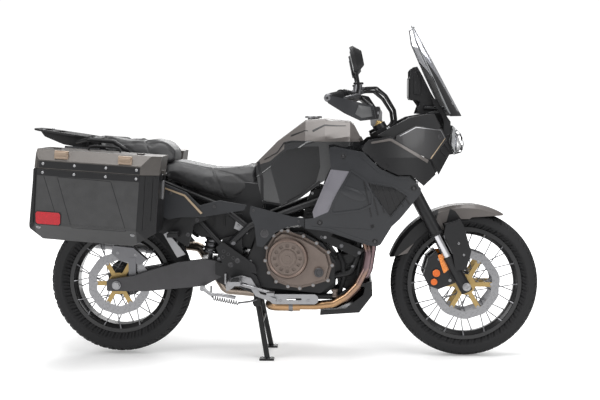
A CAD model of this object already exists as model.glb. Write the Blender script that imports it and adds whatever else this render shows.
"""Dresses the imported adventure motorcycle: finishes, tread, soft seats, fastenings and a plain studio."""

import logging
import math
from dataclasses import dataclass, field
from enum import Enum
from typing import Any, Callable, Iterable, Optional, Sequence

import bmesh
import bpy
from mathutils import Matrix, Vector
from mathutils.bvhtree import BVHTree


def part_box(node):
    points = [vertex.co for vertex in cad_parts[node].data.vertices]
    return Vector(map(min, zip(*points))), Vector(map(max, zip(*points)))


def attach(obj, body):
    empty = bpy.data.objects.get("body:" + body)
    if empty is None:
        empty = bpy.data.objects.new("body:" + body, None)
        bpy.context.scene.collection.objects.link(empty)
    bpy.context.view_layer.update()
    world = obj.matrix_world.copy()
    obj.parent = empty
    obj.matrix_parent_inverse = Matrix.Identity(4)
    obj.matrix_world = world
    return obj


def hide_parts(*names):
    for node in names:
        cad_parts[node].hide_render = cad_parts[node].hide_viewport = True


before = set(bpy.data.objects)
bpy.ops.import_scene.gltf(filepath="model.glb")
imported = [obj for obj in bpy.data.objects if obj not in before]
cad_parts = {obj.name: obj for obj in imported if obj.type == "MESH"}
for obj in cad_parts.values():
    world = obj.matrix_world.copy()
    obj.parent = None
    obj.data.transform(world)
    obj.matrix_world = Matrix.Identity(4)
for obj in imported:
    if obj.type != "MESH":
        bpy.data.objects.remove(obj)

LOG = logging.getLogger("motorcycle")
MM = 0.001
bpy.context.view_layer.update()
MIDDLE = 24.5  # how far the middle of the wheelbase stands ahead of the origin, in millimetres
Colour = tuple[float, float, float]
Point = tuple[float, float, float]
Flat = tuple[float, float]


def spot(x: float, y: float, z: float) -> Vector:
    """A point in metres from millimetres about the middle of the wheelbase, at floor level."""
    return Vector((x + MIDDLE, y, z)) * MM


# ---------------------------------------------------------------- shader building


class Value:
    """One shader socket, with arithmetic that adds Math nodes."""

    def __init__(self, tree: "Tree", socket: bpy.types.NodeSocket) -> None:
        """Keeps the tree and the socket that gives the value."""
        self.tree = tree
        self.socket = socket

    def _maths(self, operation: str, *values: Any, clamp: bool = False) -> "Value":
        """Adds a Math node.

        Args:
            operation: the node's operation.
            values: its inputs, values or numbers.
            clamp: whether the result is kept between 0 and 1.

        Returns:
            The node's output.
        """
        return self.tree.node("ShaderNodeMath", {"operation": operation, "use_clamp": clamp}, *values)

    def __add__(self, other: Any) -> "Value":
        """self + other."""
        return self._maths("ADD", self, other)

    def __radd__(self, other: Any) -> "Value":
        """other + self."""
        return self._maths("ADD", other, self)

    def __sub__(self, other: Any) -> "Value":
        """self - other."""
        return self._maths("SUBTRACT", self, other)

    def __rsub__(self, other: Any) -> "Value":
        """other - self."""
        return self._maths("SUBTRACT", other, self)

    def __mul__(self, other: Any) -> "Value":
        """self * other."""
        return self._maths("MULTIPLY", self, other)

    def __rmul__(self, other: Any) -> "Value":
        """other * self."""
        return self._maths("MULTIPLY", other, self)

    def __truediv__(self, other: Any) -> "Value":
        """self / other."""
        return self._maths("DIVIDE", self, other)

    def __abs__(self) -> "Value":
        """The size of the value without its sign."""
        return self._maths("ABSOLUTE", self)

    def above(self, edge: Any, soft: float = 0.0005) -> "Value":
        """A mask that is 1 where the value is over the edge.

        Args:
            edge: where the mask turns on.
            soft: how wide the change is, in the value's units.

        Returns:
            The mask, 0 to 1.
        """
        return self._maths("MULTIPLY_ADD", self - edge, 1.0 / soft, 0.5, clamp=True)

    def below(self, edge: Any, soft: float = 0.0005) -> "Value":
        """A mask that is 1 where the value is under the edge."""
        return 1 - self.above(edge, soft)

    def inside(self, low: Any, high: Any, soft: float = 0.0005) -> "Value":
        """A mask that is 1 between low and high."""
        return self.above(low, soft) * self.below(high, soft)


class Tree:
    """A material's node tree, with one method that adds any node."""

    def __init__(self, name: str) -> None:
        """Makes an empty material of that name with a Principled shader."""
        self.material = bpy.data.materials.new(name)
        self.material.use_nodes = True
        self.nodes = self.material.node_tree.nodes
        self.links = self.material.node_tree.links
        self.nodes.clear()
        self.shader = self.nodes.new("ShaderNodeBsdfPrincipled")
        self.output = self.nodes.new("ShaderNodeOutputMaterial")
        self.links.new(self.shader.outputs[0], self.output.inputs["Surface"])
        self._coordinates: Optional[bpy.types.Node] = None

    def over(self, mask: Value) -> None:
        """Starts a second Principled shader that covers the first where the mask is 1."""
        under = self.output.inputs["Surface"].links[0].from_socket
        self.shader = self.nodes.new("ShaderNodeBsdfPrincipled")
        joined = self.nodes.new("ShaderNodeMixShader")
        self.links.new(mask.socket, joined.inputs[0])
        self.links.new(under, joined.inputs[1])
        self.links.new(self.shader.outputs[0], joined.inputs[2])
        self.links.new(joined.outputs[0], self.output.inputs["Surface"])

    def node(self, kind: str, settings: Optional[dict[str, Any]] = None, *inputs: Any, out: Any = 0,
            **named: Any) -> Value:
        """Adds a node.

        Args:
            kind: the node's type.
            settings: its own settings, set before anything else; "stops" fills a ramp.
            inputs: values or links for its sockets, in order.
            out: which output is wanted, by number or name.
            named: values or links for its sockets by name, with _ for a space.

        Returns:
            The wanted output.
        """
        made = self.nodes.new(kind)
        for key, value in (settings or {}).items():
            if key == "stops":
                while len(made.color_ramp.elements) < len(value):
                    made.color_ramp.elements.new(1.0)
                for element, (place, colour) in zip(made.color_ramp.elements, value):
                    element.position = place
                    element.color = (*colour, 1.0)
            else:
                setattr(made, key, value)
        pairs = [(made.inputs[i], v) for i, v in enumerate(inputs)]
        pairs += [(made.inputs[k.replace("_", " ")], v) for k, v in named.items()]
        for socket, value in pairs:
            if isinstance(value, Value):
                self.links.new(value.socket, socket)
            elif value is not None:
                socket.default_value = value
        return Value(self, made.outputs[out])

    def place(self) -> Value:
        """The point on the part, in metres of its own frame."""
        if self._coordinates is None:
            self._coordinates = self.nodes.new("ShaderNodeTexCoord")
        return Value(self, self._coordinates.outputs["Object"])

    def axes(self) -> tuple[Value, Value, Value]:
        """The x, y and z of the point on the part."""
        split = self.nodes.new("ShaderNodeSeparateXYZ")
        self.links.new(self.place().socket, split.inputs[0])
        return tuple(Value(self, split.outputs[i]) for i in range(3))

    def noise(self, size: float, detail: float = 2.0, stretch: Point = (1.0, 1.0, 1.0)) -> Value:
        """Soft noise.

        Args:
            size: how large one cloud is, in metres.
            detail: octaves of finer noise.
            stretch: factors that shorten the clouds along each axis.

        Returns:
            The noise, about 0.2 to 0.8.
        """
        mapped = self.node("ShaderNodeMapping", {}, Vector=self.place(),
            Scale=tuple(s / size for s in stretch))
        return self.node("ShaderNodeTexNoise", {}, Vector=mapped, Scale=1.0, Detail=detail, out="Fac")

    def cells(self, size: float, feature: str = "F1") -> Value:
        """Distance in a field of cells of that size in metres."""
        mapped = self.node("ShaderNodeMapping", {}, Vector=self.place(), Scale=(1 / size,) * 3)
        return self.node("ShaderNodeTexVoronoi", {"feature": feature}, Vector=mapped, Scale=1.0,
            out="Distance")

    def blend(self, mask: Any, first: Any, second: Any) -> Value:
        """first where the mask is 0 and second where it is 1, as colours."""
        made = self.nodes.new("ShaderNodeMix")
        made.data_type = "RGBA"
        for socket, value in ((made.inputs[0], mask), (made.inputs[6], first), (made.inputs[7], second)):
            if isinstance(value, Value):
                self.links.new(value.socket, socket)
            elif isinstance(value, tuple):
                socket.default_value = (*value, 1.0)
            else:
                socket.default_value = value
        return Value(self, made.outputs[2])

    def tinted(self, colour: Colour, mask: Value, amount: float) -> Value:
        """A colour that a mask makes lighter and darker by that share."""
        dark = tuple(c * (1 - amount) for c in colour)
        light = tuple(min(1.0, c * (1 + amount)) for c in colour)
        return self.blend(mask, dark, light)

    def relief(self, height: Value, depth: float) -> None:
        """Raises the surface's normal by a height field.

        Args:
            height: the field, 0 to 1.
            depth: how deep it is, in metres.
        """
        bump = self.node("ShaderNodeBump", {}, Strength=1.0, Distance=depth, Height=height)
        self.feed("Normal", bump)

    def feed(self, socket: str, value: Any) -> None:
        """Sets a socket of the Principled shader, or links it."""
        target = self.shader.inputs[socket]
        if isinstance(value, Value):
            self.links.new(value.socket, target)
        elif isinstance(value, tuple) and len(value) == 3 and len(target.default_value) == 4:
            target.default_value = (*value, 1.0)
        else:
            target.default_value = value


# ---------------------------------------------------------------- finishes


@dataclass(frozen=True)
class Finish:
    """A surface finish. Each kind fills the shader in its own way."""

    name: str
    colour: Colour
    rough: float = 0.5

    def build(self) -> bpy.types.Material:
        """Makes the Blender material."""
        tree = Tree(self.name)
        self.apply(tree)
        return tree.material

    def apply(self, tree: Tree) -> None:
        """Sets the colour and roughness, then fills in the rest."""
        tree.feed("Base Color", self.colour)
        tree.feed("Roughness", self.rough)
        self.fill(tree)

    def fill(self, tree: Tree) -> None:
        """Adds what this kind of finish varies over the surface."""


@dataclass(frozen=True)
class Plastic(Finish):
    """Moulded plastic with a fine spark-eroded grain."""

    grain: float = 0.0011
    depth: float = 0.00006

    def fill(self, tree: Tree) -> None:
        """Grain in the normal, slow drift in colour and roughness."""
        drift = tree.noise(0.09, 3.0)
        tree.feed("Base Color", tree.tinted(self.colour, drift, 0.16))
        tree.feed("Roughness", drift * 0.14 + (self.rough - 0.07))
        tree.feed("Specular IOR Level", 0.42)
        tree.relief(tree.noise(self.grain, 2.0), self.depth)


@dataclass(frozen=True)
class Lacquer(Finish):
    """Sprayed paint under clear coat, with metal flake and faint orange peel."""

    flake: float = 0.25
    coat: float = 0.8
    metal: float = 0.55

    def fill(self, tree: Tree) -> None:
        """Flake in the base colour, peel in the normal."""
        flakes = tree.noise(0.0009, 1.0)
        drift = tree.noise(0.12, 2.0)
        tree.feed("Base Color", tree.tinted(self.colour, flakes * 0.7 + drift * 0.3, self.flake))
        tree.feed("Roughness", drift * 0.08 + (self.rough - 0.04))
        tree.feed("Metallic", self.metal)
        tree.feed("Coat Weight", self.coat)
        tree.feed("Coat Roughness", 0.06)
        tree.relief(tree.noise(0.004, 2.0), 0.00002)


@dataclass(frozen=True)
class Cast(Finish):
    """Cast metal under thin paint: sandy relief and worn high spots."""

    sand: float = 0.0016
    metal: float = 0.35

    def fill(self, tree: Tree) -> None:
        """Sand grain, and patches of lighter wear."""
        sand = tree.noise(self.sand, 3.0)
        drift = tree.noise(0.035, 4.0)
        tree.feed("Base Color", tree.tinted(self.colour, drift * 0.6 + sand * 0.4, 0.3))
        tree.feed("Roughness", drift * 0.24 + (self.rough - 0.12))
        tree.feed("Metallic", self.metal)
        tree.relief(sand, 0.00016)


@dataclass(frozen=True)
class Metal(Finish):
    """Bare metal, drawn or brushed along one axis."""

    brush: Point = (1.0, 8.0, 8.0)
    size: float = 0.006

    def fill(self, tree: Tree) -> None:
        """Brush lines in roughness and normal, smudges in colour."""
        lines = tree.noise(self.size, 3.0, self.brush)
        smudge = tree.noise(0.05, 3.0)
        tree.feed("Base Color", tree.tinted(self.colour, smudge * 0.6 + lines * 0.4, 0.14))
        tree.feed("Roughness", lines * 0.16 + smudge * 0.1 + (self.rough - 0.13))
        tree.feed("Metallic", 1.0)
        tree.relief(lines, 0.00001)


@dataclass(frozen=True)
class HeatTint(Finish):
    """Exhaust steel that heat has turned straw, copper and violet along the pipe."""

    straw: Colour = (0.42, 0.26, 0.14)
    violet: Colour = (0.2, 0.14, 0.15)
    front_x: float = 0.37
    rear_x: float = -0.2

    def fill(self, tree: Tree) -> None:
        """Bands by distance from the engine, broken up by noise."""
        x, _, _ = tree.axes()
        cloud = tree.noise(0.06, 3.0)
        along = (x - self.rear_x) / (self.front_x - self.rear_x) + (cloud - 0.5) * 0.5
        ramp = tree.node(
            "ShaderNodeValToRGB",
            {"stops": [(0.0, self.colour), (0.35, self.straw), (0.7, self.straw), (1.0, self.violet)]},
            along,
        )
        tree.feed("Base Color", ramp)
        tree.feed("Roughness", cloud * 0.2 + (self.rough - 0.1))
        tree.feed("Metallic", 1.0)
        tree.relief(tree.noise(0.002, 2.0), 0.00002)


@dataclass(frozen=True)
class Rubber(Finish):
    """Moulded rubber with a dusty bloom."""

    def fill(self, tree: Tree) -> None:
        """Bloom in colour and roughness, fine relief."""
        bloom = tree.noise(0.05, 4.0)
        tree.feed("Base Color", tree.tinted(self.colour, bloom, 0.3))
        tree.feed("Roughness", bloom * 0.16 + (self.rough - 0.08))
        tree.feed("Specular IOR Level", 0.35)
        tree.relief(tree.noise(0.0014, 2.0), 0.00006)


@dataclass(frozen=True)
class Vinyl(Finish):
    """Grained seat vinyl: small pebbles with soft valleys."""

    pebble: float = 0.0024

    def fill(self, tree: Tree) -> None:
        """Pebble grain, and a soft sheen that changes over the seat."""
        pebbles = tree.cells(self.pebble, "SMOOTH_F1")
        drift = tree.noise(0.08, 2.0)
        tree.feed("Base Color", tree.tinted(self.colour, drift * 0.5 + pebbles * 0.5, 0.22))
        tree.feed("Roughness", drift * 0.14 + (self.rough - 0.07))
        tree.feed("Sheen Weight", 0.06)
        tree.relief(1 - pebbles, 0.00022)


@dataclass(frozen=True)
class Clear(Finish):
    """Clear moulded plastic or glass."""

    index: float = 1.46

    def fill(self, tree: Tree) -> None:
        """Passes light, with faint handling marks in the roughness."""
        marks = tree.noise(0.03, 3.0)
        tree.feed("Transmission Weight", 1.0)
        tree.feed("IOR", self.index)
        tree.feed("Roughness", marks * 0.03 + max(0.0, self.rough - 0.015))


@dataclass(frozen=True)
class Lens(Finish):
    """Coloured lamp plastic with moulded prisms."""

    pitch: float = 0.006

    def fill(self, tree: Tree) -> None:
        """Prism pattern in the normal and colour."""
        cells = tree.cells(self.pitch)
        tree.feed("Base Color", tree.tinted(self.colour, cells, 0.35))
        tree.feed("Roughness", cells * 0.1 + self.rough)
        tree.feed("Coat Weight", 0.6)
        tree.feed("Coat Roughness", 0.04)
        tree.relief(cells, 0.0008)


class View(Enum):
    """A view that an outline is drawn in, as two axes. Y counts as the distance from the middle plane."""

    SIDE = (0, 2)
    FRONT = (1, 2)


@dataclass(frozen=True)
class Region:
    """A convex outline in one view, in millimetres, its corners anticlockwise."""

    view: View
    outline: tuple[Flat, ...]
    soft: float = 0.0008

    def mask(self, tree: Tree) -> Value:
        """The mask that is 1 inside the outline."""
        x, y, z = tree.axes()
        places = (x - MIDDLE * MM, abs(y), z)
        first, second = (places[i] for i in self.view.value)
        inside: Any = 1.0
        corners = list(self.outline)
        for (a, b), (c, d) in zip(corners, corners[1:] + corners[:1]):
            length = math.hypot(c - a, d - b)
            distance = first * (-(d - b) / length) + second * ((c - a) / length)
            inside = distance.above((a * (b - d) + b * (c - a)) / length * MM, self.soft) * inside
        return inside


@dataclass(frozen=True)
class Painted(Finish):
    """Two finishes on one surface, the second inside a few drawn regions."""

    under: Optional[Finish] = None
    top: Optional[Finish] = None
    regions: tuple[Region, ...] = ()

    def build(self) -> bpy.types.Material:
        """Makes the Blender material, both finishes joined by the regions' mask."""
        tree = Tree(self.name)
        self.under.apply(tree)
        mask = self.regions[0].mask(tree)
        for region in self.regions[1:]:
            mask = tree.node("ShaderNodeMath", {"operation": "MAXIMUM"}, mask, region.mask(tree))
        tree.over(mask)
        self.top.apply(tree)
        return tree.material


# ---------------------------------------------------------------- colours and finishes of this machine


class Tone(Enum):
    """The machine's colours, as linear red, green and blue."""

    TAUPE = (0.118, 0.106, 0.100)
    CHARCOAL = (0.016, 0.0165, 0.018)
    BLACK = (0.007, 0.007, 0.008)
    STRUT = (0.160, 0.155, 0.175)
    SILVER = (0.36, 0.36, 0.37)
    STEEL = (0.30, 0.30, 0.31)
    BRONZE = (0.175, 0.140, 0.122)
    STRIPE = (0.47, 0.36, 0.24)
    AMBER = (0.75, 0.22, 0.02)
    RED = (0.30, 0.012, 0.010)
    CAP = (0.78, 0.20, 0.06)
    LATCH = (0.46, 0.36, 0.28)


@dataclass(frozen=True)
class Finishes:
    """Every finish used on the machine, by its maker's name."""

    black_plastic: Finish = Plastic("black_plastic", Tone.BLACK.value, 0.44)
    grip_rubber: Finish = Rubber("grip_rubber", (0.012, 0.012, 0.013), 0.72)
    tyre_rubber: Finish = Rubber("tyre_rubber", (0.014, 0.014, 0.015), 0.74)
    taupe: Finish = Lacquer("taupe_paint", Tone.TAUPE.value, 0.46, 0.25, 0.2, 0.3)
    gloss_charcoal: Finish = Lacquer("charcoal_paint", Tone.CHARCOAL.value, 0.2, 0.35, 1.0, 0.2)
    satin_charcoal: Finish = Plastic("satin_charcoal", (0.022, 0.023, 0.026), 0.4)
    strut_grey: Finish = Plastic("strut_grey", Tone.STRUT.value, 0.4)
    dome_grey: Finish = Plastic("guard_grey", (0.085, 0.086, 0.088), 0.42)
    satin_black: Finish = Cast("satin_black", Tone.BLACK.value, 0.42, 0.003, 0.2)
    arm_grey: Finish = Cast("arm_grey", (0.058, 0.057, 0.060), 0.38, 0.003, 0.45)
    engine_black: Finish = Cast("engine_black", (0.016, 0.016, 0.017), 0.5)
    bronze: Finish = Cast("bronze_cover", Tone.BRONZE.value, 0.42, 0.0016, 0.6)
    rim_black: Finish = Lacquer("rim_black", (0.014, 0.014, 0.015), 0.3, 0.1, 0.4, 0.4)
    hub_black: Finish = Cast("hub_black", (0.03, 0.03, 0.032), 0.45)
    spoke_steel: Finish = Metal("spoke_steel", (0.20, 0.20, 0.21), 0.3)
    disc_steel: Finish = Metal("disc_steel", Tone.STEEL.value, 0.3, (1.0, 1.0, 1.0), 0.003)
    gold: Finish = Metal("gold_anodised", (0.42, 0.30, 0.13), 0.35)
    caliper_black: Finish = Cast("caliper_black", (0.014, 0.014, 0.015), 0.36, 0.002, 0.3)
    chrome: Finish = Metal("hard_chrome", (0.6, 0.6, 0.62), 0.14)
    silver: Finish = Metal("silver_alloy", Tone.SILVER.value, 0.4)
    dark_steel: Finish = Metal("dark_steel", (0.2, 0.2, 0.21), 0.38)
    latch_bronze: Finish = Metal("latch_bronze", Tone.LATCH.value, 0.4)
    exhaust: Finish = HeatTint("exhaust_steel", (0.36, 0.3, 0.25), 0.3)
    silencer: Finish = Metal("silencer_steel", (0.34, 0.34, 0.35), 0.34)
    seat_vinyl: Finish = Vinyl("seat_vinyl", (0.013, 0.013, 0.014), 0.5)
    case_panel: Finish = Cast("case_panel", (0.056, 0.056, 0.057), 0.42, 0.0022, 0.35)
    case_lid: Finish = Cast("case_lid", (0.100, 0.092, 0.086), 0.4, 0.003, 0.5)
    screen_clear: Finish = Clear("screen_clear", (0.80, 0.81, 0.85), 0.02, 1.15)
    lamp_clear: Finish = Clear("lamp_clear", (0.97, 0.98, 0.99), 0.02)
    mirror_glass: Finish = Metal("mirror_glass", (0.8, 0.82, 0.84), 0.13)
    reflector: Finish = Metal("lamp_reflector", (0.86, 0.86, 0.88), 0.15)
    stripe: Finish = Lacquer("stripe_gold", Tone.STRIPE.value, 0.35, 0.15, 0.6, 0.5)
    amber: Finish = Lens("amber_lens", Tone.AMBER.value, 0.2)
    red: Finish = Lens("red_lens", Tone.RED.value, 0.2)
    reflector_red: Finish = Lens("reflector_red", (0.40, 0.002, 0.010), 0.4, 0.003)
    nose_grey: Finish = Lacquer("nose_paint", (0.036, 0.0355, 0.037), 0.4, 0.2, 0.15, 0.3)
    cap_orange: Finish = Metal("cap_orange", Tone.CAP.value, 0.36)
    dark_glass: Finish = Lacquer("dark_glass", (0.008, 0.009, 0.011), 0.08, 0.1, 1.0, 0.0)
    edge_grey: Finish = Plastic("screen_edge_grey", (0.16, 0.165, 0.17), 0.25)
    silver_paint: Finish = Lacquer("edge_silver", (0.30, 0.30, 0.31), 0.3, 0.15, 0.8, 0.7)
    lip: Finish = Metal("machined_lip", (0.19, 0.145, 0.125), 0.42)
    spring: Finish = Lacquer("spring_paint", (0.03, 0.03, 0.032), 0.35, 0.2, 0.6, 0.2)
    core: Finish = Cast("radiator_core", (0.02, 0.02, 0.021), 0.5, 0.004, 0.5)


COAT = Finishes()

TANK = Painted(
    "tank_two_tone", (0.0, 0.0, 0.0), 0.0, COAT.gloss_charcoal, COAT.taupe,
    (
        Region(View.SIDE, ((-200, 842), (-93, 878), (-29, 932), (-29, 1120), (-200, 1120))),
        Region(View.SIDE, ((-31, 955), (10, 966), (10, 1120), (-31, 1120))),
        Region(View.SIDE, ((9, 966), (340, 966), (400, 1120), (9, 1120))),
    ),
)
SCREEN = Painted(
    "screen_two_tone", (0.0, 0.0, 0.0), 0.0, COAT.screen_clear, COAT.black_plastic,
    (
        Region(View.FRONT, ((-1, 1060), (300, 1060), (300, 1108), (-1, 1090))),
        Region(View.FRONT, ((84, 1060), (300, 1060), (300, 1338), (168, 1330), (138, 1276), (108, 1190))),
    ),
)
FENDER = Painted(
    "mudguard_two_tone", (0.0, 0.0, 0.0), 0.0, COAT.taupe, COAT.black_plastic,
    (
        Region(View.SIDE, ((400, 400), (622, 575), (652, 660), (400, 760))),
        Region(View.SIDE, ((676, 575), (760, 606), (724, 655), (700, 668))),
    ),
)
COWL = Painted(
    "cowl_and_grille", (0.0, 0.0, 0.0), 0.0, COAT.satin_charcoal, COAT.satin_black,
    (Region(View.SIDE, ((328, 792), (389, 699), (430, 648), (502, 735), (441, 772))),),
)
CASE = Painted(
    "case_two_tone", (0.0, 0.0, 0.0), 0.0, COAT.case_panel, COAT.black_plastic,
    (
        Region(View.SIDE, ((-1100, 500), (-1050, 500), (-1020, 950), (-1100, 950))),
        Region(View.SIDE, ((-630, 500), (-480, 500), (-480, 900), (-598, 900))),
    ),
)
NOSE = Painted(
    "nose_two_tone", (0.0, 0.0, 0.0), 0.0, COAT.nose_grey, COAT.satin_black,
    (Region(View.SIDE, ((600, 800), (720, 800), (720, 962), (676, 968), (603, 884))),),
)
_BUILT: dict[str, bpy.types.Material] = {}


def material(finish: Finish) -> bpy.types.Material:
    """The Blender material of a finish, made the first time it is asked for."""
    if finish.name not in _BUILT:
        _BUILT[finish.name] = finish.build()
    return _BUILT[finish.name]


def dress(finish: Finish, *nodes: str) -> None:
    """Gives CAD nodes one finish all over.

    Args:
        finish: the finish.
        nodes: the nodes' names.
    """
    for name in nodes:
        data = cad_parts[name].data
        data.materials.clear()
        data.materials.append(material(finish))


def dress_where(node: str, finish: Finish, test: Callable[[Vector, Vector], bool]) -> None:
    """Gives a second finish to those faces of a CAD node that a test picks.

    Args:
        node: the node's name; it already has its main finish.
        finish: the second finish.
        test: takes a face's centre and normal.
    """
    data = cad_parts[node].data
    data.materials.append(material(finish))
    slot = len(data.materials) - 1
    for face in data.polygons:
        if test(face.center, face.normal):
            face.material_index = slot


# ---------------------------------------------------------------- mesh building


FROM_RIGHT: Point = (0, 1, 0)  # a ray that comes in from the right
FROM_LEFT: Point = (0, -1, 0)
FROM_TOP: Point = (0, 0, -1)


class Skin:
    """A CAD node's surface, to seat small pieces on."""

    _trees: dict[str, BVHTree] = {}

    def __init__(self, node: str) -> None:
        """Reads the node's mesh once."""
        if node not in Skin._trees:
            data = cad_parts[node].data
            points = [v.co.copy() for v in data.vertices]
            Skin._trees[node] = BVHTree.FromPolygons(points, [tuple(f.vertices) for f in data.polygons])
        self.tree = Skin._trees[node]

    def hit(self, start: Sequence[float], way: Sequence[float]) -> Optional[tuple[Vector, Vector]]:
        """Where a ray first meets the surface.

        Args:
            start: the ray's start.
            way: its direction.

        Returns:
            The point and the normal that faces the ray, or None.
        """
        point, normal, _, _ = self.tree.ray_cast(Vector(start), Vector(way).normalized())
        if point is None:
            return None
        if normal.dot(Vector(way)) > 0:
            normal = -normal
        return point, normal


def turned_to(normal: Vector, point: Vector, spin: float = 0.0) -> Matrix:
    """A placement with its own Z along a normal.

    Args:
        normal: the wanted Z.
        point: the origin.
        spin: a turn about Z, in radians.

    Returns:
        The placement.
    """
    turn = normal.to_track_quat("Z", "Y").to_matrix().to_4x4()
    return Matrix.Translation(point) @ turn @ Matrix.Rotation(spin, 4, "Z")


def facing(side: int, x: float, y: float, z: float, spin: float = 0.0) -> Matrix:
    """A placement at a point in millimetres, with Z out of the left side (1) or the right side (-1)."""
    return turned_to(Vector((0, side, 0)), spot(x, y, z), spin)


class Shape:
    """A mesh under construction. Each method adds a closed form and gives the shape back."""

    def __init__(self) -> None:
        """Starts empty."""
        self.mesh = bmesh.new()

    def _move(self, verts: Iterable[bmesh.types.BMVert], place: Optional[Matrix]) -> "Shape":
        """Puts new points where they belong."""
        if place is not None:
            bmesh.ops.transform(self.mesh, matrix=place, verts=list(verts))
        return self

    def lathe(self, section: Sequence[tuple[float, float]], place: Optional[Matrix] = None,
            sides: int = 24) -> "Shape":
        """Turns a section about Z.

        Args:
            section: radius and height of each point, from the axis and back to it.
            place: where the form goes.
            sides: how many facets go round.

        Returns:
            The shape.
        """
        rings = []
        for radius, height in section:
            if radius < 1e-7:
                rings.append([self.mesh.verts.new((0, 0, height))])
                continue
            steps = [2 * math.pi * i / sides for i in range(sides)]
            corners = [(radius * math.cos(a), radius * math.sin(a), height) for a in steps]
            rings.append([self.mesh.verts.new(corner) for corner in corners])
        for low, high in zip(rings, rings[1:]):
            for i in range(sides):
                j = (i + 1) % sides
                if len(low) == 1 and len(high) == 1:
                    break
                if len(low) == 1:
                    self.mesh.faces.new((low[0], high[i], high[j]))
                elif len(high) == 1:
                    self.mesh.faces.new((low[i], high[0], low[j]))
                else:
                    self.mesh.faces.new((low[i], high[i], high[j], low[j]))
        return self._move([v for ring in rings for v in ring], place)

    def prism(self, outline: Sequence[tuple[float, float]], low: float, high: float,
            place: Optional[Matrix] = None) -> "Shape":
        """Raises an outline from one height to another.

        Args:
            outline: x and y of its corners.
            low: the lower height.
            high: the upper height.
            place: where the form goes.

        Returns:
            The shape.
        """
        lower = [self.mesh.verts.new((x, y, low)) for x, y in outline]
        upper = [self.mesh.verts.new((x, y, high)) for x, y in outline]
        self.mesh.faces.new(lower[::-1])
        self.mesh.faces.new(upper)
        count = len(outline)
        for i in range(count):
            j = (i + 1) % count
            self.mesh.faces.new((lower[i], lower[j], upper[j], upper[i]))
        return self._move(lower + upper, place)

    def block(self, size: Sequence[float], place: Optional[Matrix] = None) -> "Shape":
        """A block of that size about its own middle, standing on Z 0."""
        x, y, z = size[0] / 2, size[1] / 2, size[2]
        return self.prism([(-x, -y), (x, -y), (x, y), (-x, y)], 0, z, place)

    def bar(self, route: Sequence[Sequence[float]], radius: float, sides: int = 10) -> "Shape":
        """A round bar along a route.

        Args:
            route: the points it passes.
            radius: its radius.
            sides: how many facets go round.

        Returns:
            The shape.
        """
        points = [Vector(p) for p in route]
        rings = []
        side = None
        for i, point in enumerate(points):
            ahead = (points[min(i + 1, len(points) - 1)] - points[max(i - 1, 0)]).normalized()
            if side is None:
                side = ahead.orthogonal().normalized()
            side = (side - ahead * side.dot(ahead)).normalized()
            across = ahead.cross(side)
            steps = [2 * math.pi * k / sides for k in range(sides)]
            corners = [
                point + side * (radius * math.cos(a)) + across * (radius * math.sin(a)) for a in steps
            ]
            rings.append([self.mesh.verts.new(corner) for corner in corners])
        for low, high in zip(rings, rings[1:]):
            for k in range(sides):
                n = (k + 1) % sides
                self.mesh.faces.new((low[k], low[n], high[n], high[k]))
        self.mesh.faces.new(rings[0][::-1])
        self.mesh.faces.new(rings[-1])
        return self

    def bolt(self, place: Matrix, head: float = 0.006, height: float = 0.005,
            socket: bool = True) -> "Shape":
        """A cap screw head on a washer.

        Args:
            place: the seat, with Z away from the surface.
            head: the head's radius.
            height: the head's height.
            socket: whether it has a hexagon socket; otherwise it is a hexagon head.

        Returns:
            The shape.
        """
        washer = head * 1.35
        self.lathe([(0, -0.001), (washer, -0.001), (washer, 0.0008), (0, 0.0008)], place, 20)
        if socket:
            key = head * 0.52
            top = height
            section = [(0, 0), (head, 0), (head, top * 0.82), (head * 0.86, top), (key, top),
                (key * 0.96, top * 0.45), (0, top * 0.45)]
            return self.lathe(section, place, 18)
        return self.lathe([(0, 0), (head, 0), (head, height * 0.85), (head * 0.85, height), (0, height)],
            place, 6)

    def rivet(self, place: Matrix, head: float = 0.006) -> "Shape":
        """A domed rivet head."""
        steps = [(head * math.cos(a), head * 0.55 * math.sin(a)) for a in (0, 0.5, 1, math.pi / 2)]
        return self.lathe([(0, -0.0005), (head, -0.0005), *steps[:-1], (0, steps[-1][1])], place, 16)

    def bolts(self, node: str, starts: Sequence[Point], way: Point, head: float = 5.0, height: float = 4.0,
            socket: bool = True) -> "Shape":
        """Seats cap screws where rays meet a node.

        Args:
            node: the CAD node that they sit on.
            starts: where each ray starts, in millimetres.
            way: the rays' direction.
            head: the heads' radius in millimetres.
            height: the heads' height in millimetres.
            socket: whether they have hexagon sockets.

        Returns:
            The shape.
        """
        for start in starts:
            found = Skin(node).hit(spot(*start), way)
            if found is None:
                LOG.warning("no seat on %s for a screw from %s", node, start)
            else:
                self.bolt(turned_to(found[1], found[0], start[0]), head * MM, height * MM, socket)
        return self

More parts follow.
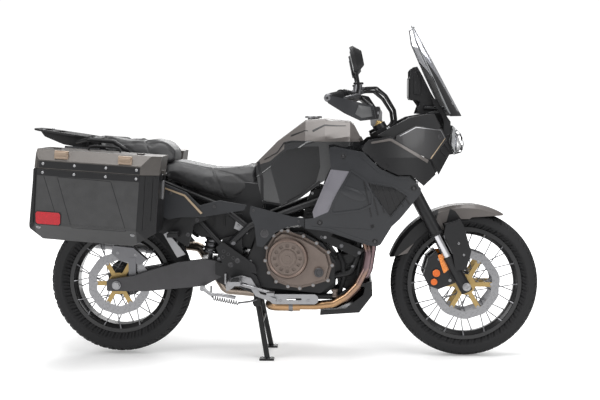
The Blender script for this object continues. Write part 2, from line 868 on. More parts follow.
    def ribbon(self, node: str, route: Sequence[Point], way: Point, width: float, height: float,
            ends: Flat = (1, 1), step: float = 8) -> "Shape":
        """Lays a strip on a node along a route.

        Args:
            node: the CAD node that carries it.
            route: points that rays start from, in millimetres.
            way: the rays' direction.
            width: its width in millimetres.
            height: how far it stands out, in millimetres.
            ends: the share of the width at its first and last end.
            step: the distance between its ribs in millimetres.

        Returns:
            The shape.
        """
        skin = Skin(node)
        starts = self._stepped([spot(*p) for p in route], step * MM)
        found = [(share, hit) for share, start in starts if (hit := skin.hit(start, way))]
        rings = []
        for i, (share, (point, normal)) in enumerate(found):
            ahead = found[min(i + 1, len(found) - 1)][1][0] - found[max(i - 1, 0)][1][0]
            across = normal.cross(ahead).normalized()
            half = width * MM / 2 * (ends[0] + (ends[1] - ends[0]) * share)
            rib = []
            for side in (-1, 0, 1):
                seat = skin.hit(point + across * (half * side) - Vector(way).normalized() * 0.02, way)
                base = point + across * (half * side)
                if seat and (seat[0] - point).length < half * 2 + 0.002:
                    base = seat[0]
                rib.append((base - normal * 0.0012, base + normal * (height * MM * (1 if side else 1.12))))
            loop = [rib[0][0], rib[0][1], rib[1][1], rib[2][1], rib[2][0], rib[1][0]]
            rings.append([self.mesh.verts.new(p) for p in loop])
        if len(rings) < 2:
            LOG.warning("no strip on %s from %s", node, route[0])
            return self
        for low, high in zip(rings, rings[1:]):
            for k in range(6):
                n = (k + 1) % 6
                self.mesh.faces.new((low[k], low[n], high[n], high[k]))
        self.mesh.faces.new(rings[0][::-1])
        self.mesh.faces.new(rings[-1])
        return self

    def strip(self, node: str, points: Sequence[Flat], width: float, height: float,
            ends: Flat = (1.0, 1.0)) -> "Shape":
        """Lays a strip on a node's right side along x, z points, in millimetres."""
        return self.ribbon(node, [(x, -400, z) for x, z in points], FROM_RIGHT, width, height, ends)

    @staticmethod
    def _stepped(points: Sequence[Vector], step: float) -> list[tuple[float, Vector]]:
        """Points at even steps along a route, each with its share of the way."""
        lengths = [(b - a).length for a, b in zip(points, points[1:])]
        total = sum(lengths)
        count = max(2, int(total / step) + 1)
        result = []
        for i in range(count + 1):
            left = total * i / count
            for a, b, length in zip(points, points[1:], lengths):
                if left <= length + 1e-9:
                    result.append((i / count, a.lerp(b, left / length)))
                    break
                left -= length
        return result

    def plate(self, node: str, outline: Sequence[Point], way: Point, height: float) -> "Shape":
        """Lays a flat-topped plate on a node, its corners seated by rays.

        Args:
            node: the CAD node that carries it.
            outline: the points that rays start from, in millimetres.
            way: the rays' direction.
            height: its thickness in millimetres.

        Returns:
            The shape.
        """
        skin = Skin(node)
        corners = [spot(*p) for p in outline]
        edges = [self._stepped([a, b], 0.012)[:-1] for a, b in zip(corners, corners[1:] + corners[:1])]
        seats = [skin.hit(start, way) for edge in edges for _, start in edge]
        seats = [seat for seat in seats if seat]
        if len(seats) < 3:
            LOG.warning("no plate on %s at %s", node, outline[0])
            return self
        low = [self.mesh.verts.new(point - normal * 0.0015) for point, normal in seats]
        high = [self.mesh.verts.new(point + normal * (height * MM)) for point, normal in seats]
        self.mesh.faces.new(low[::-1])
        self.mesh.faces.new(high)
        for i in range(len(low)):
            j = (i + 1) % len(low)
            self.mesh.faces.new((low[i], low[j], high[j], high[i]))
        return self

    def crown(self, node: str, outline: Sequence[Point], way: Point, rise: float,
            rings: int = 5) -> "Shape":
        """Lays a domed cover on a node, highest in its middle.

        Args:
            node: the CAD node that carries it.
            outline: the points that rays start from, in millimetres.
            way: the rays' direction.
            rise: how far its middle stands out, in millimetres.
            rings: how many rings of points lead up to the middle.

        Returns:
            The shape.
        """
        skin = Skin(node)
        corners = [spot(*p) for p in outline]
        edges = [self._stepped([a, b], 0.012)[:-1] for a, b in zip(corners, corners[1:] + corners[:1])]
        starts = [p for edge in edges for _, p in edge]
        middle = sum(starts, Vector()) / len(starts)
        lift = -Vector(way).normalized()
        seats = [skin.hit(start, way) for start in starts]
        pairs = [(start, seat[0]) for start, seat in zip(starts, seats) if seat]
        centre = skin.hit(middle, way)
        if len(pairs) < 3 or centre is None:
            LOG.warning("no cover on %s at %s", node, outline[0])
            return self
        loops = [[self.mesh.verts.new(point - lift * 0.001) for _, point in pairs]]
        for k in range(rings):
            share = k / rings
            height = rise * MM * (0.3 + 0.7 * math.sin(math.pi / 2 * min(1, share * 1.3)))
            loop = []
            for start, point in pairs:
                found = skin.hit(start.lerp(middle, share), way)
                base = found[0] if found else point.lerp(centre[0], share)
                loop.append(self.mesh.verts.new(base + lift * height))
            loops.append(loop)
        top = self.mesh.verts.new(centre[0] + lift * (rise * MM))
        bottom = self.mesh.verts.new(centre[0] - lift * 0.001)
        count = len(pairs)
        for low, high in zip(loops, loops[1:]):
            for i in range(count):
                j = (i + 1) % count
                self.mesh.faces.new((low[i], low[j], high[j], high[i]))
        for i in range(count):
            j = (i + 1) % count
            self.mesh.faces.new((loops[-1][i], loops[-1][j], top))
            self.mesh.faces.new((loops[0][j], loops[0][i], bottom))
        return self

    def sheet(self, outline: Sequence[Flat], out_at: Callable[[float], float], thick: float) -> "Shape":
        """A plate upright along X whose distance from the middle plane follows X, on the right side.

        Args:
            outline: x and z of its corners, in millimetres.
            out_at: the distance out of its outer face at an x.
            thick: its thickness in millimetres.

        Returns:
            The shape.
        """
        corners = [Vector((x, 0, z)) for x, z in outline]
        edges = [self._stepped([a, b], 25)[:-1] for a, b in zip(corners, corners[1:] + corners[:1])]
        fine = [p for edge in edges for _, p in edge]
        outer = [self.mesh.verts.new(spot(p.x, -out_at(p.x), p.z)) for p in fine]
        inner = [self.mesh.verts.new(spot(p.x, thick - out_at(p.x), p.z)) for p in fine]
        self.mesh.faces.new(outer)
        self.mesh.faces.new(inner[::-1])
        for i in range(len(fine)):
            j = (i + 1) % len(fine)
            self.mesh.faces.new((outer[i], outer[j], inner[j], inner[i]))
        return self

    def flipped(self) -> "Shape":
        """Adds a mirror image across the machine's middle plane."""
        source = list(self.mesh.faces)
        copy = bmesh.ops.duplicate(self.mesh, geom=list(self.mesh.verts) + list(self.mesh.edges) + source)
        verts = [g for g in copy["geom"] if isinstance(g, bmesh.types.BMVert)]
        faces = [g for g in copy["geom"] if isinstance(g, bmesh.types.BMFace)]
        for vert in verts:
            vert.co.y = -vert.co.y
        bmesh.ops.reverse_faces(self.mesh, faces=faces)
        return self

    def piece(
        self,
        name: str,
        finish: Finish,
        body: str,
        slot: str,
        replaces: Sequence[str] = (),
        smooth: float = 35,
        bevel: float = 0,
    ) -> bpy.types.Object:
        """Ends the building and makes the Blender object.

        Args:
            name: the piece's name.
            finish: its finish.
            body: the CAD body that it rides on.
            slot: the record's material slot.
            replaces: CAD nodes that it stands for.
            smooth: edges flatter than this many degrees are shaded smooth.
            bevel: width of a bevel on sharp edges, in metres.

        Returns:
            The object.
        """
        bmesh.ops.recalc_face_normals(self.mesh, faces=list(self.mesh.faces))
        data = bpy.data.meshes.new(name)
        self.mesh.to_mesh(data)
        self.mesh.free()
        return settle(name, data, finish, body, replaces, smooth, bevel)


def settle(
    name: str,
    data: bpy.types.Mesh,
    finish: Finish,
    body: str,
    replaces: Sequence[str] = (),
    smooth: float = 35.0,
    bevel: float = 0.0,
) -> bpy.types.Object:
    """Puts a mesh in the scene as one piece of the machine.

    Args:
        name: the piece's name.
        data: its mesh.
        finish: its finish.
        body: the CAD body that it rides on.
        replaces: CAD nodes that it stands for.
        smooth: edges flatter than this many degrees are shaded smooth.
        bevel: width of a bevel on sharp edges, in metres.

    Returns:
        The object.
    """
    data.materials.append(material(finish))
    made = bpy.data.objects.new(name, data)
    bpy.context.scene.collection.objects.link(made)
    data.shade_smooth()
    data.set_sharp_from_angle(angle=math.radians(smooth))
    if bevel > 0:
        edge = made.modifiers.new("edges", "BEVEL")
        edge.width = bevel
        edge.segments = 2
        edge.angle_limit = math.radians(40)
        edge.harden_normals = False
    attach(made, body)
    if replaces:
        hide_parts(*replaces)
    LOG.info("%s: %d faces on %s", name, len(data.polygons), body)
    return made


# ---------------------------------------------------------------- wheels


@dataclass
class Tyre:
    """A tyre with moulded tread, in place of its plain CAD solid."""

    node: str
    body: str
    slot: str
    pitches: int
    tread_half: float
    turns: int = 900
    around: int = 56
    groove: float = 0.0055

    def section(self) -> list[tuple[float, float, float]]:
        """Reads the outer section from the CAD tyre.

        Returns:
            For each point its angle from the crown, its radius from the axle and its y.
        """
        low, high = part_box(self.node)
        self.axle = (low + high) / 2
        outer = (high.z - low.z) / 2
        middle = outer - 0.062
        skin = Skin(self.node)
        points = []
        for i in range(self.around + 1):
            angle = math.radians(-158 + 316 * i / self.around)
            way = Vector((math.cos(angle), math.sin(angle), 0))
            centre = self.axle + Vector((middle, 0, 0))
            found = skin.hit(centre + way * 0.2, -way)
            if found is None:
                continue
            offset = found[0] - self.axle
            points.append((angle, offset.x, offset.y))
        return points

    def depth(self, turn: float, angle: float, y: float) -> float:
        """How far the surface is cut in at a place on the tread.

        Args:
            turn: the place round the wheel, in pitches.
            angle: the section angle from the crown.
            y: the place across the tyre.

        Returns:
            The depth in metres, or a small negative height of a sidewall rib.
        """
        across = y / self.tread_half
        if abs(across) > 1:
            ribs = 0.5 + 0.5 * math.cos(abs(angle) * 52)
            return -0.0004 * ribs if 1.15 < abs(angle) < 2.3 else 0
        wave = turn + 0.22 * math.sin(math.pi * across * 1.3) + (0.5 if across > 0 else 0)
        here = wave % 1
        wide = 0.13 + 0.1 * abs(across)
        lateral = 0.16 < abs(across) and here < wide
        zigzag = 0.045 * math.sin(2 * math.pi * turn)
        centre = abs(across - zigzag) < 0.045
        shoulder = abs(abs(across) - 0.52 + 0.04 * math.sin(2 * math.pi * turn * 2)) < 0.035
        slit = abs(here - 0.6) < 0.035 and abs(across) > 0.58
        if lateral or centre:
            return self.groove
        if shoulder or slit:
            return self.groove * 0.7
        return 0

    def build(self) -> None:
        """Makes the tyre and lets it stand for its node."""
        section = self.section()
        shape = Shape()
        rings = []
        for k in range(self.turns):
            theta = 2 * math.pi * k / self.turns
            turn = self.pitches * k / self.turns
            ring = []
            for angle, radius, y in section:
                cut = self.depth(turn, angle, y)
                r = radius - cut * math.cos(angle)
                side = y - cut * math.sin(angle)
                ring.append(shape.mesh.verts.new(self.axle + Vector((r * math.cos(theta), side,
                    r * math.sin(theta)))))
            rings.append(ring)
        for k in range(self.turns):
            here, ahead = rings[k], rings[(k + 1) % self.turns]
            for i in range(len(section)):
                j = (i + 1) % len(section)
                shape.mesh.faces.new((here[i], here[j], ahead[j], ahead[i]))
        shape.piece(f"{self.node}_tread", COAT.tyre_rubber, self.body, self.slot, (self.node,), 40)


# ---------------------------------------------------------------- seats


@dataclass
class Seat:
    """A stuffed vinyl seat that swells a little and is sewn along its seams."""

    node: str
    fill: float
    seams: Sequence[Callable[[Vector], float]]
    voxel: float = 0.0055
    most: float = 0.005
    seam_width: float = 0.0045
    seam_depth: float = 0.0032

    def build(self) -> None:
        """Copies, remeshes, inflates and sews the seat."""
        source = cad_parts[self.node]
        data = source.data.copy()
        data.materials.clear()
        made = settle(f"{self.node}_cover", data, COAT.seat_vinyl, "chassis", (self.node,), 180)
        self._modify(made, "REMESH", mode="VOXEL", voxel_size=self.voxel, use_smooth_shade=True)
        self._modify(made, "SMOOTH", factor=0.5, iterations=4)
        self._inflate(made)
        self._modify(made, "SUBSURF", levels=1, render_levels=1)
        self._sew(made)
        made.data.shade_smooth()

    def _modify(self, made: bpy.types.Object, kind: str, **settings: Any) -> None:
        """Adds a modifier with its settings and applies it."""
        modifier = made.modifiers.new(kind.lower(), kind)
        for key, value in settings.items():
            setattr(modifier, key, value)
        bpy.context.view_layer.objects.active = made
        bpy.ops.object.modifier_apply(modifier=modifier.name)

    def _inflate(self, made: bpy.types.Object) -> None:
        """Runs the cloth for a moment, then caps how far a point has moved."""
        rest = [v.co.copy() for v in made.data.vertices]
        cloth = made.modifiers.new("cloth", "CLOTH")
        cloth.settings.use_pressure = True
        cloth.settings.uniform_pressure_force = 4
        cloth.settings.effector_weights.gravity = 0
        cloth.settings.quality = 4
        for step in range(1, 13):
            bpy.context.scene.frame_set(step)
        moved = made.evaluated_get(bpy.context.evaluated_depsgraph_get()).to_mesh()
        places = [v.co.copy() for v in moved.vertices]
        made.modifiers.remove(cloth)
        low = min(p.z for p in rest)
        for vert, old, new in zip(made.data.vertices, rest, places):
            step = new - old
            cap = self.most * min(1, max(0, (old.z - low) / 0.05))
            if step.length > cap:
                step *= cap / step.length
            vert.co = old + step
        bpy.context.scene.frame_set(1)

    def _sew(self, made: bpy.types.Object) -> None:
        """Presses the seams in along their lines."""
        made.data.update()
        normals = [v.normal.copy() for v in made.data.vertices]
        for vert, normal in zip(made.data.vertices, normals):
            near = min(abs(seam(vert.co)) for seam in self.seams)
            press = math.exp(-((near / self.seam_width) ** 2))
            vert.co -= normal * (self.seam_depth * press)


# ---------------------------------------------------------------- wheel fittings


@dataclass
class WheelFittings:
    """Nipples, drilled brake discs, carrier buttons and the valve of one spoked wheel, in millimetres."""

    name: str
    body: str
    axle: Flat
    seat_r: float
    rim_w: float
    flange_r: float
    flange_y: float
    rotor_r: float
    band: float
    arm_r: float
    rotor_ys: tuple[float, ...]
    hub_r: float
    spokes: int = 32
    rotor_t: float = 5.0
    hole_r: float = 3.1
    hole_groups: int = 30

    def at(self, radius: float, turn: float, y: float) -> Vector:
        """The point at a radius and an angle about the axle."""
        return spot(self.axle[0] + radius * math.cos(turn), y, self.axle[1] + radius * math.sin(turn))

    def nipples(self) -> None:
        """A steel nipple where each spoke meets the rim, and the dark hub body."""
        shape = Shape()
        for k in range(self.spokes):
            side = 1 if k % 2 else -1
            lead = 58 if (k // 2) % 2 else -58
            out = math.radians(k * 360 / self.spokes)
            root = self.at(self.flange_r, out + math.radians(lead), side * self.flange_y)
            end = self.at(self.seat_r + 4, out, side * (self.rim_w / 2 - 5))
            way = (root - end).normalized()
            base = end + way * 0.0085
            shape.lathe([(0, 0), (0.0036, 0), (0.0036, 0.008), (0.0029, 0.017), (0, 0.017)],
                turned_to(way, base), 8)
        shape.piece(f"{self.name}_nipples", COAT.spoke_steel, self.body, "hubs")
        hub = f"{self.name}_hub"
        limit = self.hub_r * MM
        centre = self.at(0, 0, 0)
        dress_where(hub, COAT.hub_black, lambda c, n: math.hypot(c.x - centre.x, c.z - centre.z) < limit)

    def discs(self) -> None:
        """Drilled holes through the brake bands, and the buttons that carry them."""
        holes = Shape()
        buttons = Shape()
        half = self.rotor_t / 2
        for y in self.rotor_ys:
            turn = turned_to(Vector((0, 1, 0)), Vector((0, 0, 0)))
            for group in range(self.hole_groups):
                for row in range(3):
                    radius = self.rotor_r - 8.5 - row * (self.band - 16) / 2.4
                    share = group + row * 0.33 + (0.5 if group % 2 else 0) * 0.3
                    angle = 2 * math.pi * share / self.hole_groups
                    place = Matrix.Translation(self.at(radius, angle, y)) @ turn
                    r = self.hole_r * MM
                    ring = (half + 0.35) * MM
                    section = [(0, -ring + 0.0006), (r * 0.8, -ring + 0.0006), (r, -ring), (r, ring),
                        (r * 0.8, ring - 0.0006), (0, ring - 0.0006)]
                    holes.lathe(section, place, 10)
            for arm in range(6):
                place = Matrix.Translation(self.at(self.arm_r, math.radians(arm * 60), y)) @ turn
                edge = (half + 1.6) * MM
                section = [(0, -edge + 0.001), (0.003, -edge), (0.0074, -edge), (0.0082, -edge + 0.001)]
                section += [(r, -z) for r, z in reversed(section)]
                buttons.lathe(section, place, 16)
        holes.piece(f"{self.name}_disc_holes", COAT.satin_black, self.body, "rotors")
        buttons.piece(f"{self.name}_disc_buttons", COAT.silver, self.body, "rotors")

    def valve(self) -> None:
        """A short valve stem with its cap, inside the rim."""
        angle = math.radians(101.3)
        top = self.at(self.seat_r - 20, angle, 0)
        way = (self.at(0, 0, 0) - top).normalized()
        section = [(0, 0), (0.0062, 0), (0.0062, 0.006), (0.0042, 0.010), (0.0042, 0.020), (0.0052, 0.021),
            (0.0052, 0.031), (0, 0.032)]
        Shape().lathe(section, turned_to(way, top), 14).piece(f"{self.name}_valve", COAT.grip_rubber,
            self.body, "rubber")

    def build(self) -> None:
        """Makes all of the wheel's fittings."""
        self.nipples()
        self.discs()
        self.valve()


# ---------------------------------------------------------------- fork and front brake


@dataclass
class Fork:
    """What shows on the fork: seals, caps, screws, caliper caps, reflectors and the shields' screws."""

    foot: Point = (761.5, 0.0, 329.0)
    rake: float = 28.0
    leg_y: float = 105.0
    outer_r: float = 27.5
    seal_at: float = 259.0
    top_at: float = 806.0
    clamps: tuple[float, float] = (500.0, 770.0)
    caps: tuple[tuple[float, float, float], ...] = ((640.0, 384.0, 17.0), (630.0, 345.0, 15.0))
    reflector: tuple[Flat, ...] = ((645, 462), (650, 468), (666, 468), (672, 462), (697, 408), (694, 402),
        (676, 385), (670, 388))
    shield_bolts: tuple[Flat, ...] = ((733, 520), (756, 470))

    def along(self, distance: float, back: float = 0.0, y: float = 0.0) -> Vector:
        """A point a distance up the fork line, set back square to it."""
        turn = math.radians(self.rake)
        x = self.foot[0] - math.sin(turn) * distance - math.cos(turn) * back
        z = self.foot[2] + math.cos(turn) * distance - math.sin(turn) * back
        return spot(x, y, z)

    def tubes(self) -> None:
        """Dust seals, wiper lips and the adjusters in the top caps."""
        up = (self.along(100) - self.along(0)).normalized()
        seals = Shape()
        caps = Shape()
        for y in (-self.leg_y, self.leg_y):
            r = self.outer_r * MM
            base = turned_to(up, self.along(self.seal_at - 3, y=y))
            section = [(r - 0.0055, 0), (r + 0.001, 0), (r + 0.0024, 0.002), (r + 0.0024, 0.010),
                (r + 0.001, 0.013), (r - 0.0055, 0.013)]
            seals.lathe(section + section[:1], base, 36)
            top = turned_to(up, self.along(self.top_at - 0.5, y=y))
            caps.lathe([(0, 0), (0.022, 0), (0.022, 0.003), (0.0195, 0.005), (0, 0.005)], top, 32)
            caps.lathe([(0, 0.005), (0.0125, 0.005), (0.0125, 0.011), (0, 0.011)], top, 6)
            caps.lathe([(0, 0.011), (0.006, 0.011), (0.006, 0.0155), (0.005, 0.0165), (0, 0.0165)], top, 18)
        seals.piece("fork_seals", COAT.grip_rubber, "steering", "rubber")
        caps.piece("fork_top_caps", COAT.gold, "steering", "fork_black")

    def screws(self) -> None:
        """Pinch screws in both clamps, axle nuts and caliper screws."""
        shape = Shape()
        ahead = -(self.along(0, 100) - self.along(0)).normalized()
        for clamp in self.clamps:
            for y in (-136, -78, 78, 136):
                start = self.along(clamp, -80, y)
                found = Skin("triple_clamps").hit(start, -ahead)
                if found:
                    shape.bolt(turned_to(found[1], found[0]), 0.0052, 0.006)
        for side in (-1, 1):
            face = facing(side, 770, side * 136, 329)
            shape.lathe([(0, -0.004), (0.0165, -0.004), (0.0165, -0.0005), (0, -0.0005)], face, 32)
            shape.bolt(face, 0.0135, 0.006)
        lugs = [(700, 352), (652, 446)]
        shape.bolts("front_calipers", [(x, -200, z) for x, z in lugs], FROM_RIGHT, 5, 4)
        shape.bolts("front_calipers", [(x, 200, z) for x, z in lugs], FROM_LEFT, 5, 4)
        shape.piece("fork_screws", COAT.silver, "steering", "alloy")

    def caliper(self) -> None:
        """Piston caps, the rings round them, and the side reflectors."""
        caps = Shape()
        ribs = Shape()
        lens = Shape()
        for side in (-1, 1):
            for x, z, radius in self.caps:
                face = facing(side, x, side * 98, z, 0.4)
                r = radius * MM
                caps.lathe([(0, -0.001), (r, -0.001), (r, 0.0028), (r * 0.9, 0.004), (r * 0.62, 0.004),
                    (r * 0.55, 0.0022), (0, 0.0022)], face, 32)
                caps.lathe([(0, 0.002), (r * 0.3, 0.002), (r * 0.3, 0.0036), (0, 0.0036)], face, 6)
                ribs.lathe([(r * 1.02, -0.001), (r * 1.26, -0.001), (r * 1.2, 0.003), (r * 1.02, 0.0034),
                    (r * 1.02, -0.001)], face, 32)
            turn = Matrix.Rotation(math.pi / 2, 4, "X")
            outline = [(x * MM, z * MM) for x, z in self.reflector]
            place = Matrix.Translation(spot(0, -97.5 if side < 0 else 105.5, 0)) @ turn
            lens.prism(outline, 0, 0.008, place)
        caps.piece("caliper_caps", COAT.cap_orange, "steering", "caliper")
        ribs.piece("caliper_rings", COAT.satin_black, "steering", "caliper")
        lens.piece("fork_reflectors", COAT.amber, "steering", "amber_lens", bevel=0.0014)

    def shields(self) -> None:
        """Screws with rubber rings on the fork shields, and on the mudguard."""
        rings = Shape()
        bolts = Shape()
        for side in (-1, 1):
            for x, z in self.shield_bolts:
                face = facing(side, x, side * 134, z)
                rings.lathe([(0.0062, -0.001), (0.0095, -0.001), (0.009, 0.002), (0.0062, 0.0024),
                    (0.0062, -0.001)], face, 24)
                bolts.bolt(face, 0.005, 0.0035)
            bolts.bolts("front_fender", [(642, side * 160, 602)], (0, -side, 0), 5, 4)
        rings.piece("shield_rings", COAT.grip_rubber, "steering", "rubber")
        bolts.piece("shield_screws", COAT.silver, "steering", "alloy")

    def build(self) -> None:
        """Makes and dresses everything on the fork."""
        self.tubes()
        self.screws()
        self.caliper()
        self.shields()


# ---------------------------------------------------------------- handlebar


@dataclass
class Cockpit:
    """Grip ribs, guard shells, mirror glasses, riser screws, hose nuts and the instrument face."""

    grip_from: Point = (174.0, -464.0, 1152.5)
    grip_to: Point = (217.0, -364.0, 1163.6)
    grip_r: float = 17.0
    ribs: int = 17
    bar_end: Point = (170.0, -474.0, 1152.0)
    mirror_at: Point = (262.0, 402.0, 1304.0)
    mirror_lean: float = 12.0
    mirror_size: Flat = (150.0, 96.0)
    reservoir_at: Point = (292.0, 264.0, 1210.0)

    def grips(self) -> None:
        """Ribs round each grip, its flange, and the bar-end weight."""
        ribs = Shape()
        ends = Shape()
        start, stop = spot(*self.grip_from), spot(*self.grip_to)
        way = (stop - start).normalized()
        r = self.grip_r * MM
        for i in range(self.ribs):
            place = turned_to(way, start.lerp(stop, i / (self.ribs - 1)))
            ribs.lathe([(r - 0.001, -0.0016), (r + 0.0012, -0.0007), (r + 0.0012, 0.0007),
                (r - 0.001, 0.0016), (r - 0.001, -0.0016)], place, 28)
        flange = turned_to(way, stop + way * 0.001)
        ribs.lathe([(r - 0.004, 0), (r + 0.006, 0.0005), (r + 0.006, 0.0035), (r - 0.004, 0.004),
            (r - 0.004, 0)], flange, 32)
        end = turned_to(-way, spot(*self.bar_end))
        ends.lathe([(0, -0.006), (0.0155, -0.006), (0.0165, 0), (0.0165, 0.012), (0.014, 0.0165),
            (0.006, 0.0175), (0.006, 0.014), (0, 0.014)], end, 32)
        ribs.flipped().piece("grip_ribs", COAT.grip_rubber, "steering", "rubber")
        ends.flipped().piece("bar_ends", COAT.dark_steel, "steering", "dark_steel")

    def hands(self) -> None:
        """Guard and lever screws, reservoir caps and switch pods."""
        screws = Shape()
        screws.bolts("guards", [(370, -600, 1090)], FROM_RIGHT, 5, 3.5)
        screws.bolts("controls", [(268, -296, 1230)], FROM_TOP, 4.6, 4)
        screws.flipped().piece("hand_screws", COAT.silver, "steering", "alloy")
        caps = Shape()
        top = Matrix.Translation(spot(self.reservoir_at[0], -self.reservoir_at[1], self.reservoir_at[2]))
        caps.lathe([(0, -0.001), (0.0195, -0.001), (0.0205, 0.001), (0.0205, 0.006), (0.0185, 0.008),
            (0, 0.008)], top, 40)
        for k in range(12):
            spin = Matrix.Rotation(math.pi * 2 * k / 12, 4, "Z")
            caps.block((0.002, 0.004, 0.007), top @ spin @ Matrix.Translation((0.0204, 0, -0.0005)))
        caps.flipped().piece("reservoir_caps", COAT.satin_black, "steering", "fork_black")
        keys = Shape()
        start, stop = spot(232, -340, 1166), spot(258, -305, 1163)
        way = (stop - start).normalized()
        r = 0.0215
        keys.lathe([(0.012, 0), (r, 0.001), (r, 0.03), (0.012, 0.031), (0.012, 0)], turned_to(way, start),
            28)
        for lift in (0.009, 0.021):
            keys.block((0.010, 0.007, 0.0035), turned_to(Vector((-0.4, 0, 0.9)).normalized(),
                start + way * lift + Vector((-0.006, 0, 0.0195))))
        keys.flipped().piece("switch_pods", COAT.black_plastic, "steering", "black_plastic", bevel=0.0006)

    def guard_shells(self) -> None:
        """The swollen outer face of each hand guard, and its lighter dome."""
        shells = Shape()
        outline = [(164, 1163), (238, 1146), (310, 1126), (352, 1118), (362, 1070), (298, 1061),
            (236, 1091), (170, 1131)]
        shells.crown("guards", [(x, -600, z) for x, z in outline], FROM_RIGHT, 1.3)
        shells.flipped().piece("guard_shells", COAT.satin_charcoal, "steering", "black_plastic", smooth=50)
        domes = Shape()
        outline = [(290, 1122), (338, 1114), (346, 1076), (302, 1070), (276, 1086)]
        domes.crown("guards", [(x, -600, z) for x, z in outline], FROM_RIGHT, 12.2)
        domes.flipped().piece("guard_domes", COAT.dome_grey, "steering", "strut", smooth=50)

    def clamps(self) -> None:
        """Riser screws and the hose fittings at both ends."""
        shape = Shape()
        for y in (-40, 40):
            for x in (360, 384):
                for side in (-8, 8):
                    shape.bolts("risers", [(x, y + side, 1160)], FROM_TOP, 4.2, 5)
        shape.piece("riser_screws", COAT.silver, "steering", "alloy")
        nuts = Shape()
        for side in (-1, 1):
            for z, ahead in ((1190, (330, 225, 1196)), (1174, (332, 214, 1182))):
                start = spot(292, side * 264, z)
                way = (spot(ahead[0], side * ahead[1], ahead[2]) - start).normalized()
                nuts.lathe([(0, 0.014), (0.0072, 0.014), (0.0072, 0.024), (0.0058, 0.034), (0, 0.034)],
                    turned_to(way, start), 6)
        nuts.piece("hose_nuts", COAT.dark_steel, "steering", "dark_steel")

    def mirrors(self) -> None:
        """The glass in each mirror's back face, in a thin rim."""
        glass = Shape()
        rims = Shape()
        lean = math.radians(self.mirror_lean)
        back = Vector((-math.cos(lean), 0, -math.sin(lean)))
        for side in (-1, 1):
            centre = spot(self.mirror_at[0], side * self.mirror_at[1], self.mirror_at[2])
            across = Vector((0, 1, 0))
            frame_of = Matrix((across, back.cross(across), back)).transposed().to_4x4()
            place = Matrix.Translation(centre) @ frame_of
            for shape, grow, low, high in ((glass, 0, -0.0005, 0.0012), (rims, 2.6, -0.0005, 0.0007)):
                shape.prism(self.rounded(self.mirror_size[0] + grow, self.mirror_size[1] + grow, 34), low,
                    high, place)
        glass.piece("mirror_glasses", COAT.mirror_glass, "steering", "lens")
        rims.piece("mirror_rims", COAT.black_plastic, "steering", "black_plastic")

    @staticmethod
    def rounded(width: float, height: float, corner: float, steps: int = 8) -> list[Flat]:
        """A rectangle with round corners, in metres from millimetres."""
        points = []
        for k, (sx, sy) in enumerate(((1, 1), (-1, 1), (-1, -1), (1, -1))):
            for i in range(steps + 1):
                angle = math.pi / 2 * (k + i / steps)
                x = sx * (width / 2 - corner) + corner * math.cos(angle)
                y = sy * (height / 2 - corner) + corner * math.sin(angle)
                points.append((x * MM, y * MM))
        return points

    def instruments(self) -> None:
        """A glass face with a bezel on the rider's side of the cluster."""
        bezel = Shape()
        face = Shape()
        back = Matrix.Translation(spot(519, 0, 1197)) @ Matrix.Rotation(-math.pi / 2, 4, "Y")
        back = back @ Matrix.Rotation(math.pi / 2, 4, "Z")
        bezel.prism(self.rounded(148, 92, 12), -0.002, 0.004, back)
        face.prism(self.rounded(132, 74, 7), 0.0035, 0.0055, back)
        bezel.piece("cluster_bezel", COAT.satin_black, "chassis", "black_plastic", bevel=0.0015)
        face.piece("cluster_glass", COAT.dark_glass, "chassis", "lens", bevel=0.0008)

    def build(self) -> None:
        """Makes and dresses everything on the handlebar."""
        self.grips()
        self.hands()
        self.guard_shells()
        self.clamps()
        self.mirrors()
        self.instruments()


# ---------------------------------------------------------------- screen and nose


